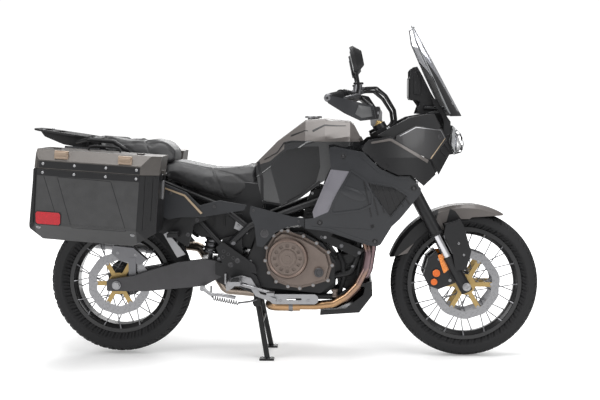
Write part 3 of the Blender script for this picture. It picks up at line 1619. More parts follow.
@dataclass
class Front:
    """The lamps, the nose panel's trims, and the screen's edge, screws and brackets."""

    lamp_y: float = 44.0
    lamp_z: float = 962.0
    lamp_r: float = 28.6
    slats: tuple[tuple[Flat, ...], ...] = (
        ((674, 962), (703, 920), (697, 912), (666, 952)),
        ((662, 946), (692, 904), (680, 890), (648, 924), (652, 936)),
    )

    def lamps(self) -> None:
        """Reflector bowls, projector lenses and daylight strips behind the clear lens."""
        bowls = Shape()
        eyes = Shape()
        trims = Shape()
        for side in (-1, 1):
            face = turned_to(Vector((1, 0, 0)), spot(651, side * self.lamp_y, self.lamp_z))
            r = self.lamp_r * MM
            bowls.lathe([(0, 0), (0.012, 0), (r * 0.75, 0.012), (r * 0.985, 0.042), (r * 0.92, 0.042),
                (r * 0.68, 0.014), (0.010, 0.0025), (0, 0.0025)], face, 40)
            eyes.lathe([(0, 0.002), (0.017, 0.002), (0.0175, 0.020), (0.014, 0.029), (0.008, 0.0335),
                (0, 0.035)], face, 36)
            trims.lathe([(r * 0.99, 0.038), (r * 1.12, 0.044), (r * 1.12, 0.050), (r, 0.052),
                (r * 0.99, 0.038)], face, 40)
        bowls.piece("lamp_bowls", COAT.reflector, "chassis", "lens")
        eyes.piece("lamp_eyes", COAT.dark_glass, "chassis", "lens")
        trims.piece("lamp_rings", COAT.chrome, "chassis", "alloy")

    def nose(self) -> None:
        """The gold stripe, the slats, the bright edge and the round screws."""
        stripe = Shape()
        stripe.strip("nose_cowl", [(671, 980), (600, 886)], 5, 0.9, (0.5, 1))
        stripe.flipped().piece("nose_stripes", COAT.stripe, "chassis", "taupe", bevel=0.0003)
        slats = Shape()
        for outline in self.slats:
            slats.plate("nose_cowl", [(x, -400, z) for x, z in outline], FROM_RIGHT, 3)
        slats.flipped().piece("nose_slats", COAT.black_plastic, "chassis", "black_plastic", bevel=0.001)
        edge = Shape()
        edge.strip("nose_cowl", [(470, 990), (541, 1027), (650, 1014), (668, 980)], 3.2, 0.8)
        edge.flipped().piece("nose_edges", COAT.silver_paint, "chassis", "alloy")
        bolts = Shape().bolts("nose_cowl", [(645, -400, 985)], FROM_RIGHT, 9, 3)
        bolts.flipped().piece("nose_screws", COAT.arm_grey, "chassis", "dark_steel")

    def screen(self) -> None:
        """Screws through the screen, and a rolled edge round it."""
        bolts = Shape()
        for z in (1128, 1196):
            bolts.bolts("windscreen", [(900, -104, z)], (-1, 0, 0), 5.5, 3.5)
        bolts.flipped().piece("screen_screws", COAT.silver, "chassis", "alloy")
        edge = Shape()
        skin = Skin("windscreen")
        rims = []
        for y, z in self.edge_line():
            found = skin.hit(spot(900, y, z), (-1, 0, 0))
            if found:
                rims.append(found[0] + Vector((-0.002, 0, 0)))
        edge.bar(rims, 0.0040, 8)
        edge.piece("screen_edge", COAT.edge_grey, "chassis", "screen")

    @staticmethod
    def edge_line() -> list[Flat]:
        """Points a few millimetres inside the screen's outline, seen from the front."""
        right = [(-163, 1084), (-176, 1160), (-178, 1236), (-164, 1320), (-149, 1396), (-124, 1430),
            (-100, 1456)]
        top = [(-60, 1461), (0, 1462), (60, 1461)]
        points = right + top + [(-y, z) for y, z in reversed(right)]
        fine = []
        for (a, b), (c, d) in zip(points, points[1:]):
            fine += [(a + (c - a) * k / 4, b + (d - b) * k / 4) for k in range(4)]
        return fine + [points[-1]]

    def rails(self) -> None:
        """Black rails over the nose, the screen's brackets and carrier, and the liners behind."""
        rail = Shape()
        outline = [(372, 992), (440, 1032), (512, 1070), (582, 1084), (622, 1086), (650, 1030), (640, 1018),
            (572, 1026), (520, 1014), (456, 982), (398, 984)]
        rail.sheet(outline, lambda x: 207 - max(0, x - 440) * 0.26, 16)
        rail.flipped().piece("nose_rails", COAT.black_plastic, "chassis", "black_plastic", bevel=0.003)
        bracket = Shape()
        outline = [(612, 1154), (632, 1147), (668, 1088), (694, 1050), (694, 1000), (660, 980), (664, 1046),
            (652, 1082), (618, 1126)]
        bracket.sheet(outline, lambda x: 120, 9)
        bracket.flipped().piece("screen_brackets", COAT.satin_black, "chassis", "black_plastic",
            bevel=0.0015)
        carrier = Shape()
        outline = [(519, 1272), (530, 1286), (550, 1290), (574, 1248), (610, 1176), (650, 1110),
            (660, 1084), (546, 1084), (566, 1140), (520, 1146)]
        carrier.sheet(outline, lambda x: 92, 9)
        carrier.sheet([(534, 1262), (546, 1268), (566, 1226), (566, 1166), (534, 1170)], lambda x: 96, 6)
        carrier.bar([spot(600, -88, 1150), spot(600, 88, 1150)], 0.008)
        carrier.bar([spot(545, -88, 1240), spot(545, 88, 1240)], 0.008)
        carrier.bar([spot(580, -96, 1110), spot(660, -96, 1110), spot(672, -96, 1040)], 0.011)
        carrier.flipped().piece("screen_carriers", COAT.black_plastic, "chassis", "black_plastic",
            bevel=0.0015)
        filler = Shape()
        filler.sheet([(592, 1092), (660, 1092), (676, 1000), (652, 840), (616, 800), (592, 836)],
            lambda x: 45, 6)
        filler.flipped().piece("nose_liners", COAT.black_plastic, "chassis", "black_plastic", bevel=0.001)

    def build(self) -> None:
        """Makes and dresses the front end."""
        self.lamps()
        self.nose()
        self.screen()
        self.rails()


# ---------------------------------------------------------------- side cowls, tank and tail


@dataclass
class Bodywork:
    """Trims, slits, screws, vent slats and stripes on the panels, and the lower tail panels."""

    cowl_bolts: tuple[Flat, ...] = ((229.0, 905.0), (529.0, 769.0), (365.0, 540.0), (129.0, 622.0))
    cover_plug: Flat = (-112.0, 567.0)
    side_panel: tuple[Flat, ...] = (
        (-600, 752), (-580, 775), (-546, 778), (-455, 742), (-392, 690), (-305, 712), (-190, 690),
        (-200, 668), (-372, 640), (-478, 637), (-530, 627), (-585, 655),
    )

    @staticmethod
    def tail_out(x: float) -> float:
        """How far out the lower tail panel stands at an x, in millimetres."""
        return 196 - (x + 400) ** 2 * (0.00025 if x < -400 else 0.00042)

    def cowls(self) -> None:
        """Round screws in dark cups, the blade along the top, vent slats and the rolled lip."""
        cups = Shape()
        heads = Shape()
        for x, z in self.cowl_bolts:
            found = Skin("lower_cowls").hit(spot(x, -400, z), FROM_RIGHT)
            if found is None:
                continue
            place = turned_to(found[1], found[0])
            cups.lathe([(0, -0.001), (0.0125, -0.001), (0.0125, 0.001), (0.0105, 0.0022), (0.008, 0.001),
                (0, 0.001)], place, 28)
            heads.lathe([(0, 0.0008), (0.0062, 0.0008), (0.0062, 0.0032), (0.005, 0.0042), (0.0026, 0.0042),
                (0.0024, 0.003), (0, 0.003)], place, 24)
        cups.flipped().piece("cowl_cups", COAT.black_plastic, "chassis", "black_plastic")
        heads.flipped().piece("cowl_screws", COAT.arm_grey, "chassis", "dark_steel")
        blade = Shape()
        blade.strip("upper_cowls", [(348, 962), (430, 976), (590, 882)], 17, 1.6, (0.5, 0.9))
        blade.flipped().piece("cowl_blades", COAT.taupe, "chassis", "taupe", bevel=0.0006)
        slats = Shape()
        for k in range(7):
            x = 316 + k * 27
            slats.strip("lower_cowls", [(x, 800 - k * 8), (x + 34, 646 + k * 9)], 5, 2.2)
        slats.flipped().piece("vent_slats", COAT.black_plastic, "chassis", "black_plastic")
        oval = Shape()
        oval.crown("lower_cowls", self.ring(268, 748, 62, 22, -24)[:-1], FROM_RIGHT, 6)
        oval.flipped().piece("cowl_bulges", COAT.satin_charcoal, "chassis", "charcoal", smooth=60)
        rim = Shape()
        loop = [(262, 846), (322, 806), (322, 800), (352, 752), (352, 700), (300, 676), (186, 662),
            (176, 676), (190, 722), (222, 776), (262, 846)]
        rim.strip("lower_cowls", loop, 9, 3)
        rim.flipped().piece("cowl_rims", COAT.satin_charcoal, "chassis", "charcoal", smooth=60)
        lips = Shape()
        lips.strip("lower_cowls", ((322, 800), (436, 780), (508, 737)), 6, 2.6)
        lips.strip("lower_cowls", ((506, 730), (432, 642), (392, 694), (330, 794)), 4, 2)
        lips.flipped().piece("vent_lips", COAT.satin_charcoal, "chassis", "charcoal")
        crease = Shape()
        crease.strip("lower_cowls", ((178, 930), (300, 912), (376, 842), (456, 812), (520, 806)), 7, 1.4)
        crease.strip("lower_cowls", ((94, 604), (180, 594), (330, 540), (372, 530)), 6, 1.4)
        crease.strip("lower_cowls", ((146, 603), (240, 598), (350, 592)), 3, 1)
        crease.strip("lower_cowls", ((146, 592), (250, 556), (343, 524)), 4, 1.2)
        crease.flipped().piece("cowl_edges", COAT.satin_charcoal, "chassis", "charcoal")

    @staticmethod
    def ring(x: float, z: float, long: float, short: float, turn: float) -> list[Point]:
        """Ray starts round an ellipse on the right side, in millimetres."""
        angle = math.radians(turn)
        points = []
        for i in range(25):
            a = 2 * math.pi * i / 24
            u, w = long * math.cos(a), short * math.sin(a)
            points.append((x + u * math.cos(angle) - w * math.sin(angle), -400,
                z + u * math.sin(angle) + w * math.cos(angle)))
        return points

    def struts(self) -> None:
        """The edges of the grey strut."""
        edge = Shape()
        edge.strip("side_struts", [(182, 838), (108, 668)], 5, 1.4)
        edge.strip("side_struts", [(246, 830), (164, 680)], 4, 1.2)
        edge.flipped().piece("strut_edges", COAT.strut_grey, "chassis", "strut")

    def tank(self) -> None:
        """Dark slits, the glossy scoop's rim, the side seam and the filler's ring."""
        slits = Shape()
        slits.ribbon("fuel_tank", [(76, -150, 1200), (0, -112, 1200)], FROM_TOP, 9, 0.8, (0.35, 1))
        slits.ribbon("fuel_tank", [(240, -150, 1200), (96, -158, 1200)], FROM_TOP, 11, 0.8, (0.35, 1))
        slits.flipped().piece("tank_slits", COAT.black_plastic, "chassis", "black_plastic")
        rim = Shape()
        rim.strip("fuel_tank", [(-30, 958), (6, 966), (80, 966), (150, 962)], 6, 2.4, (1, 0.5))
        rim.strip("fuel_tank", [(-30, 958), (-60, 915), (-118, 884)], 6, 2.4, (1, 0.4))
        rim.flipped().piece("tank_rims", COAT.gloss_charcoal, "chassis", "charcoal")
        trim = Shape()
        trim.strip("fuel_tank", [(-146, 872), (-128, 800), (-128, 706)], 13, 2)
        trim.strip("fuel_tank", [(-124, 698), (-36, 688), (43, 727), (128, 793)], 10, 2)
        trim.flipped().piece("tank_trims", COAT.black_plastic, "chassis", "black_plastic")
        cap = Shape()
        face = Matrix.Translation(spot(96, 0, 1072))
        cap.lathe([(0.030, -0.001), (0.037, -0.001), (0.036, 0.0022), (0.031, 0.0022), (0.030, -0.001)],
            face, 48)
        cap.lathe([(0, -0.001), (0.018, -0.001), (0.018, 0.0016), (0.016, 0.0024), (0, 0.0024)], face, 40)
        cap.block((0.003, 0.012, 0.0032), face)
        for k in range(6):
            spin = Matrix.Rotation(math.pi * 2 * k / 6, 4, "Z")
            cap.bolt(face @ spin @ Matrix.Translation((0.0245, 0, -0.0003)), 0.0024, 0.0016)
        cap.piece("filler_ring", COAT.silver, "chassis", "alloy")

    def tail(self) -> None:
        """The lower tail panels, their stripe and screws, the cover's plug, and the lamp's optics."""
        panel = Shape()
        panel.sheet(list(self.side_panel), self.tail_out, 5)
        panel.sheet(((-585, 783), (-545, 784), (-448, 745), (-384, 682), (-392, 676), (-455, 736),
            (-548, 773)), lambda x: self.tail_out(x) + 2.5, 7)
        panel.bar([spot(-330, -134, 692), spot(-330, -186, 686)], 0.008)
        panel.bar([spot(-556, -150, 780), spot(-556, -184, 762)], 0.007)
        panel.flipped().piece("tail_side_panels", COAT.satin_charcoal, "chassis", "charcoal", bevel=0.0012)
        stripe = Shape()
        stripe.sheet(((-553, 771), (-555, 765), (-460, 729), (-388, 651), (-381, 657), (-455, 736)),
            lambda x: self.tail_out(x) + 0.9, 2.5)
        stripe.flipped().piece("tail_stripes", COAT.stripe, "chassis", "taupe")
        screws = Shape()
        for x, z in ((-330, 684), (-520, 742)):
            screws.bolt(facing(-1, x, -self.tail_out(x), z), 0.0055, 0.0035)
        screws.flipped().piece("tail_screws", COAT.arm_grey, "chassis", "dark_steel")
        plug = Shape()
        found = Skin("tail_panels").hit(spot(self.cover_plug[0], -400, self.cover_plug[1]), FROM_RIGHT)
        if found:
            place = turned_to(found[1], found[0])
            plug.lathe([(0, -0.001), (0.0185, -0.001), (0.0185, 0.0016), (0.0165, 0.0026), (0.0125, 0.0026),
                (0.0115, 0.0014), (0, 0.0014)], place, 36)
        plug.bolts("tail_panels", [(36, -400, 620), (-160, -400, 668)], FROM_RIGHT, 5, 3.5)
        plug.flipped().piece("cover_plugs", COAT.arm_grey, "chassis", "dark_steel")
        lamp = Shape()
        for z in (886, 912):
            lamp.prism([(-0.054, -0.0035), (0.054, -0.0035), (0.054, 0.0035), (-0.054, 0.0035)], 0, 0.0022,
                self.rearward(-1066, z))
        for k in range(5):
            place = self.rearward(-1066, 899) @ Matrix.Translation(((k - 2) * 0.021, 0, 0))
            lamp.lathe([(0, 0), (0.0075, 0), (0.007, 0.0022), (0.004, 0.0035), (0, 0.004)], place, 20)
        lamp.piece("tail_lamp_optics", COAT.red, "chassis", "red_lens")

    @staticmethod
    def rearward(x: float, z: float) -> Matrix:
        """A placement with Z backward, on the middle plane."""
        turn = Matrix(((0, 0, -1), (1, 0, 0), (0, -1, 0))).to_4x4()
        return Matrix.Translation(spot(x, 0, z)) @ turn

    def rear(self) -> None:
        """Rack screws, and the plate board's reflector and screws."""
        bolts = Shape()
        for x in (-866, -1098):
            for y in (-80, 80):
                bolts.bolts("rear_rack", [(x, y, 1200)], FROM_TOP, 6, 4)
        bolts.piece("rack_screws", COAT.silver, "chassis", "alloy")
        board = Shape()
        found = Skin("rear_fender").hit(spot(-1300, 0, 590), (1, 0, 0))
        if found:
            board.prism(Cockpit.rounded(74, 26, 6), -0.001, 0.006, turned_to(found[1], found[0]))
        board.piece("plate_reflector", COAT.red, "chassis", "red_lens", bevel=0.001)
        screws = Shape().bolts("rear_fender", [(-1300, y, 690) for y in (-70, 70)], (1, 0, 0), 5, 3)
        screws.piece("plate_screws", COAT.silver, "chassis", "alloy")

    def build(self) -> None:
        """Makes and dresses every body panel's details."""
        self.cowls()
        self.struts()
        self.tank()
        self.tail()
        self.rear()


# ---------------------------------------------------------------- side cases


@dataclass
class SideCase:
    """One aluminium case: pressed lines, rivets, corner posts, latches, handle and reflector."""

    side: int
    name: str
    seam: Flat = (-788.0, 849.5)
    tilt: float = 4.0
    face_y: float = 472.0
    lift: float = 79.0
    rivets: tuple[float, ...] = (-214.0, -84.0, 46.0, 172.0)

    @property
    def body(self) -> str:
        """The lid's body name."""
        return f"lid_{self.name}"

    def at(self, u: float, y: float, w: float) -> Point:
        """A point of the case, in millimetres about the middle of the wheelbase."""
        turn = math.radians(self.tilt)
        x = self.seam[0] + u * math.cos(turn) + w * math.sin(turn)
        z = self.seam[1] - u * math.sin(turn) + w * math.cos(turn)
        return (x, self.side * y, z)

    def axes(self, u: float, y: float, w: float) -> Matrix:
        """A placement with Z outward from the case's side, X forward and Y up along it."""
        turn = math.radians(self.tilt)
        forward = Vector((math.cos(turn), 0, -math.sin(turn)))
        up = Vector((math.sin(turn), 0, math.cos(turn)))
        out = Vector((0, float(self.side), 0))
        turned = Matrix((forward, up, out)).transposed().to_4x4()
        return Matrix.Translation(spot(*self.at(u, y, w))) @ turned

    def shell(self) -> None:
        """Pressed lines on the side, the band's rivets, the lower bolts and the corner posts."""
        node = f"pannier_{self.name}"
        out = (0, -self.side, 0)
        ribs = Shape()
        far = self.face_y + 60
        lines = (
            [(-208, -31), (-155, -177)],
            [(-83, -236), (-153, -30), (69, -34), (143, -236), (-83, -236)],
        )
        for points in lines:
            ribs.ribbon(node, [self.at(u, far, w) for u, w in points], out, 2.2, 0.5)
        ribs.piece(f"case_lines_{self.name}", COAT.black_plastic, "chassis", "black_plastic")
        band = Shape()
        band.ribbon(node, [self.at(-236, far, -16), self.at(186, far, -16)], out, 24, 1.5)
        band.piece(f"case_band_{self.name}", COAT.black_plastic, "chassis", "black_plastic")
        foot = Shape()
        foot.ribbon(node, [self.at(-222, far, -226), self.at(180, far, -226)], out, 5, 1.4)
        foot.piece(f"case_foot_{self.name}", COAT.case_panel, "chassis", "case_body")
        posts = Shape()
        for points in ([(-250, -6), (-250, -228)], [(212, -6), (212, -228)], [(240, -6), (240, -190)]):
            posts.ribbon(node, [self.at(u, far, w) for u, w in points], out, 16, 2.2)
        posts.piece(f"case_posts_{self.name}", COAT.black_plastic, "chassis", "black_plastic", bevel=0.0008)
        rivets = Shape()
        for u in self.rivets:
            rivets.rivet(self.axes(u, self.face_y + 1.4, -16), 0.0062)
        rivets.bolts(node, [self.at(u, far, w) for u, w in ((-223, -243), (167, -250))], out, 7, 4)
        rivets.piece(f"case_rivets_{self.name}", COAT.silver, "chassis", "alloy")

    def lid(self) -> None:
        """The lid's band, rivets, latches and handle."""
        node = f"lid_{self.name}"
        out = (0, -self.side, 0)
        far = self.face_y + 60
        band = Shape()
        band.ribbon(node, [self.at(-236, far, 17), self.at(186, far, 17)], out, 28, 1.5)
        band.piece(f"lid_band_{self.name}", COAT.black_plastic, self.body, "black_plastic")
        rivets = Shape()
        for u in self.rivets:
            rivets.rivet(self.axes(u, self.face_y + 1.4, 20), 0.0062)
        rivets.piece(f"lid_rivets_{self.name}", COAT.silver, self.body, "alloy")
        latches = Shape()
        for u, w in ((-142, 60), (122, 56)):
            found = Skin(node).hit(spot(*self.at(u, far, w)), out)
            if found is None:
                continue
            place = self.axes(u, abs(found[0].y) / MM, w)
            latches.block((0.057, 0.034, 0.014), place)
            latches.block((0.047, 0.009, 0.021), place @ Matrix.Translation((0, 0.007, 0)))
            latches.block((0.051, 0.006, 0.019), place @ Matrix.Translation((0, -0.010, 0)))
            latches.lathe([(0, 0), (0.004, 0), (0.004, 0.0125), (0, 0.0125)],
                place @ Matrix.Translation((0.018, -0.0015, 0)), 20)
        latches.piece(f"lid_latches_{self.name}", COAT.latch_bronze, self.body, "case_lid", bevel=0.0012)
        handle = Shape()
        route = [(-70, 300, self.lift + 1), (-62, 300, self.lift + 16), (-40, 300, self.lift + 20),
            (40, 300, self.lift + 20), (62, 300, self.lift + 16), (70, 300, self.lift + 1)]
        handle.bar([spot(*self.at(*p)) for p in route], 0.0052, 12)
        handle.piece(f"lid_handle_{self.name}", COAT.grip_rubber, self.body, "rubber")

    def latches(self) -> None:
        """The lock on the rear face, and the silver clasp on the front face."""
        node = f"pannier_{self.name}"
        clasp = Shape()
        low = Shape()
        clasp.block((0.006, 0.046, 0.004), self.axes(-266, 340, -30))
        found = Skin(node).hit(spot(*self.at(-420, 320, -34)), (1, 0, 0))
        if found:
            seat = turned_to(found[1], found[0])
            clasp.lathe([(0, -0.001), (0.011, -0.001), (0.011, 0.004), (0.009, 0.006), (0, 0.006)], seat,
                28)
            clasp.block((0.0022, 0.010, 0.0068), seat)
        clasp.piece(f"rear_lock_{self.name}", COAT.silver, "chassis", "dark_steel", bevel=0.0005)
        found = Skin(node).hit(spot(*self.at(420, 310, -54)), (-1, 0, 0))
        if found:
            low.block((0.019, 0.078, 0.008), turned_to(found[1], found[0]))
        low.piece(f"front_clasp_{self.name}", COAT.silver, "chassis", "dark_steel", bevel=0.0006)

    def reflector(self) -> None:
        """The red reflector low on the side's rear."""
        lens = Shape()
        outline = [(-234, -186), (-228, -178), (-138, -178), (-132, -186), (-130, -221), (-137, -228),
            (-224, -228), (-231, -221)]
        frame_of = Shape()
        place = self.axes(0, self.face_y, 0)
        lens.prism([(u * MM, w * MM) for u, w in outline], 0.0012, 0.0048, place)
        wide = [(u + (3.5 if u > -184 else -3.5), w + (3.5 if w > -200 else -3.5)) for u, w in outline]
        frame_of.prism([(u * MM, w * MM) for u, w in wide], -0.001, 0.0024, place)
        lens.piece(f"case_reflector_{self.name}", COAT.reflector_red, "chassis", "red_lens", bevel=0.0008)
        frame_of.piece(f"reflector_frame_{self.name}", COAT.black_plastic, "chassis", "black_plastic",
            bevel=0.0006)

    def build(self) -> None:
        """Makes and dresses the whole case."""
        self.shell()
        self.lid()
        self.latches()
        self.reflector()


# ---------------------------------------------------------------- engine, exhaust and chassis


@dataclass
class Motor:
    """Screws, plugs, clamps and ribs on engine, exhaust and cooler, and the parts in the bay between them."""

    cover_bolts: tuple[Flat, ...] = (
        (-111, 445), (-96, 392), (-64, 353), (-12, 332), (40, 324), (98, 338), (163, 359), (181, 425),
        (165, 483), (113, 522), (56, 553), (-12, 576), (-40, 579), (-74, 555), (-106, 502),
    )
    clutch: Flat = (-12.0, 461.0)
    plug: Flat = (124.0, 399.0)
    shield_bolts: tuple[Flat, ...] = ((-46.0, 270.0), (77.0, 270.0))

    def covers(self) -> None:
        """Cover screws, the bright lip round the clutch, the oil plug and both covers' caps."""
        screws = Shape()
        screws.bolts("engine_covers", [(x, -300, z) for x, z in self.cover_bolts], FROM_RIGHT, 5.2, 5)
        left = [(-80, 460), (-62, 378), (38, 342), (130, 380), (158, 440), (132, 498), (30, 546),
            (-52, 528)]
        screws.bolts("engine_covers", [(x, 300, z) for x, z in left], FROM_LEFT, 5.2, 5)
        screws.piece("cover_screws", COAT.silver, "chassis", "alloy")
        x0, _, z0 = spot(self.clutch[0], 0, self.clutch[1])
        low, high = 0.0735, 0.0895
        dress_where("engine_covers", COAT.lip,
            lambda c, n: c.y < -0.2 and low < math.hypot(c.x - x0, c.z - z0) < high)
        plug = Shape()
        face = facing(-1, self.plug[0], -198, self.plug[1])
        dark = Shape()
        dark.lathe([(0, -0.001), (0.0205, -0.001), (0.0205, 0.003), (0.0185, 0.0052), (0.0125, 0.0052),
            (0.011, 0.003), (0, 0.003)], face, 40)
        for k in range(6):
            place = face @ Matrix.Rotation(math.pi * k / 3, 4, "Z") @ Matrix.Translation((0, 0.0165, 0))
            dark.block((0.0022, 0.007, 0.0058), place)
        dark.piece("oil_plug", COAT.arm_grey, "chassis", "dark_steel")
        hub = facing(-1, self.clutch[0], -210, self.clutch[1])
        plug.lathe([(0.024, -0.001), (0.034, -0.001), (0.0335, 0.0018), (0.0245, 0.0018), (0.024, -0.001)],
            hub, 48)
        plug.lathe([(0, -0.001), (0.0155, -0.001), (0.015, 0.0022), (0, 0.0022)], hub, 6)
        plug.piece("cover_caps", COAT.bronze, "chassis", "bronze_cover")
        dome = Shape()
        left_hub = facing(1, 42, 206, 446)
        dome.lathe([(0.046, -0.001), (0.066, -0.001), (0.064, 0.0024), (0.048, 0.0024), (0.046, -0.001)],
            left_hub, 56)
        dome.lathe([(0, -0.001), (0.017, -0.001), (0.016, 0.0035), (0.006, 0.0035), (0.005, 0.0015),
            (0, 0.0015)], left_hub, 30)
        dome.piece("generator_caps", COAT.bronze, "chassis", "bronze_cover")

    def block(self) -> None:
        """Head and cam cover screws, casting ribs, hose clamps and filter flutes."""
        screws = Shape()
        for side in (-1, 1):
            for k in range(4):
                angle = math.radians(45 + 90 * k)
                screws.bolts("engine", [(118 + 33 * math.cos(angle), side * 300,
                    716 + 33 * math.sin(angle))], (0, -side, 0), 4.4, 4)
            head = [(80, 610), (150, 545), (222, 640), (214, 735), (90, 748)]
            screws.bolts("engine", [(x, side * 300, z) for x, z in head], (0, -side, 0), 5, 4.5)
            case = [(-176, 440), (-146, 348), (-120, 540)]
            screws.bolts("engine", [(x, side * 300, z) for x, z in case], (0, -side, 0), 5, 4.5)
        screws.piece("engine_screws", COAT.silver, "chassis", "alloy")
        ribs = Shape()
        for k in range(7):
            z = 612 + k * 15
            ribs.ribbon("engine", [(66 + k * 2, -300, z), (206 + k * 4, -300, z - 6)], FROM_RIGHT, 4, 4.5)
        ribs.flipped().piece("head_fins", COAT.engine_black, "chassis", "engine")
        bands = Shape()
        for at, way in (((274, -108, 415), (0.19, 0.02, 0.98)), ((299, -101, 540), (0.03, 0.05, 1))):
            place = turned_to(Vector(way).normalized(), spot(*at))
            bands.lathe([(0.0138, -0.005), (0.0156, -0.005), (0.0156, 0.005), (0.0138, 0.005),
                (0.0138, -0.005)], place, 28)
        flute = turned_to(Vector((82, 0, 12)).normalized(), spot(255, -40, 398.9))
        bands.lathe([(0, 0.004), (0.030, 0.004), (0.034, 0.0085), (0.030, 0.0105), (0, 0.0105)], flute, 14)
        bands.piece("hose_bands", COAT.dark_steel, "chassis", "dark_steel")

    def exhaust(self) -> None:
        """The heat shield's bright faces and screws, pipe clamps, the silencer's bands and end."""
        dress_where("skid_plate", COAT.silver, lambda c, n: 0.1605 < abs(c.y) < 0.169)
        bright = Shape()
        bright.bolts("skid_plate", [(x, -300, z) for x, z in self.shield_bolts], FROM_RIGHT, 6, 4)
        front = [(200, y, 100) for y in (-92, 92)]
        bright.bolts("skid_plate", front, (0, 0, 1), 6, 4)
        bright.piece("shield_screws_low", COAT.silver, "chassis", "alloy")
        bands = Shape()
        for at, way, r in (((-380, 184, 362), (-0.51, 0, 0.86), 23), ((0, -140, 243), (1, 0, 0), 23)):
            place = turned_to(Vector(way).normalized(), spot(*at))
            k = r * MM
            bands.lathe([(k - 0.001, -0.009), (k + 0.0022, -0.009), (k + 0.0028, 0), (k + 0.0022, 0.009),
                (k - 0.001, 0.009), (k - 0.001, -0.009)], place, 36)
        axis = Vector((-390, 0, 32)).normalized()
        start = spot(-540.3, 188, 472)
        for share, wide in ((0.05, 0.009), (0.34, 0.014), (0.90, 0.010)):
            place = turned_to(axis, start + axis * (0.3913 * share))
            bands.lathe([(0.0525, -wide), (0.0545, -wide), (0.0552, 0), (0.0545, wide), (0.0525, wide),
                (0.0525, -wide)], place, 56)
        bands.piece("exhaust_bands", COAT.dark_steel, "chassis", "silencer")
        ends = Shape()
        place = turned_to(axis, start + axis * 0.3913)
        ends.lathe([(0.026, -0.002), (0.050, -0.002), (0.0525, 0), (0.050, 0.004), (0.030, 0.008),
            (0.026, 0.008), (0.026, -0.002)], place, 56)
        for k in range(6):
            spin = Matrix.Rotation(math.pi * k / 3, 4, "Z")
            ends.rivet(place @ spin @ Matrix.Translation((0.044, 0, 0.004)), 0.003)
        ends.piece("silencer_end", COAT.satin_black, "chassis", "silencer")

    def bay(self) -> None:
        """Shrouds, hoses and the regulator between engine and radiator, the sensor and the side bracket."""
        shroud = Shape()
        shroud.sheet(((110, 544), (152, 561), (325, 489), (286, 455)), lambda x: 132, 5)
        shroud.bar([spot(180, -96, 528), spot(180, -129, 528)], 0.009)
        shroud.bar([spot(286, -96, 480), spot(286, -129, 480)], 0.009)
        shroud.sheet(((196, 452), (262, 470), (318, 430), (330, 330), (262, 300), (205, 330)), lambda x: 96,
            30)
        shroud.flipped().piece("bay_shrouds", COAT.black_plastic, "chassis", "black_plastic", bevel=0.0015)
        screws = Shape()
        for x, z in ((134, 546), (300, 478), (222, 508)):
            screws.bolt(facing(-1, x, -132, z), 0.006, 0.004)
        for x, z in ((224, 440), (300, 420), (300, 340), (226, 336)):
            screws.bolt(facing(-1, x, -96, z), 0.0055, 0.004)
        screws.flipped().piece("bay_screws", COAT.dark_steel, "chassis", "dark_steel")
        hoses = Shape()
        hoses.bar([spot(210, -104, 470), spot(228, -112, 430), spot(232, -112, 360), spot(214, -104, 300),
            spot(180, -96, 270)], 0.011, 14)
        hoses.bar([spot(318, -104, 470), spot(306, -110, 440), spot(296, -110, 380), spot(306, -104, 320)],
            0.009, 14)
        hoses.flipped().piece("bay_hoses", COAT.grip_rubber, "chassis", "rubber", smooth=60)
        fins = Shape()
        for k in range(9):
            fins.block((0.052, 0.008, 0.0022), Matrix.Translation(spot(266, -99, 350 + k * 9)))
        fins.piece("regulator_fins", COAT.engine_black, "chassis", "engine")
        sensor = Shape()
        place = turned_to(Vector((0, 0, 1)), spot(193, -140, 284))
        sensor.lathe([(0, 0), (0.0145, 0), (0.0145, 0.006), (0.011, 0.009), (0.011, 0.022), (0.015, 0.024),
            (0.015, 0.033), (0, 0.034)], place, 28)
        sensor.bar([spot(193, -96, 300), spot(193, -140, 300)], 0.008)
        sensor.piece("oil_sensor", COAT.bronze, "chassis", "bronze_cover")
        bracket = Shape()
        bracket.sheet(((-250, 584), (-191, 558), (-185, 600), (-241, 617)), lambda x: 140, 34)
        bracket.bolt(facing(-1, -232, -140, 596), 0.006, 0.004)
        bracket.bolt(facing(-1, -202, -140, 584), 0.006, 0.004)
        bracket.piece("side_bracket", COAT.silver, "chassis", "alloy", bevel=0.002)

    def cooler(self) -> None:
        """Cooling fins on the radiator's outer face and its cap."""
        fins = Shape()
        for k in range(22):
            z = 594 + k * 5.6
            fins.block((0.160, 0.002, 0.0009), Matrix.Translation(spot(346, 196.6, z)))
        for k in range(12):
            x = 272 + k * 13.6
            fins.block((0.0022, 0.0022, 0.120), Matrix.Translation(spot(x, 196.4, 593)))
        fins.piece("radiator_fins", COAT.core, "chassis", "radiator")
        cap = Shape()
        cap.lathe([(0, -0.001), (0.019, -0.001), (0.019, 0.004), (0.015, 0.009), (0, 0.0095)],
            Matrix.Translation(spot(296, 173, 738)), 32)
        cap.piece("radiator_cap", COAT.silver, "chassis", "alloy")

    def build(self) -> None:
        """Makes and dresses the motor's details."""
        self.covers()
        self.block()
        self.exhaust()
        self.bay()
        self.cooler()


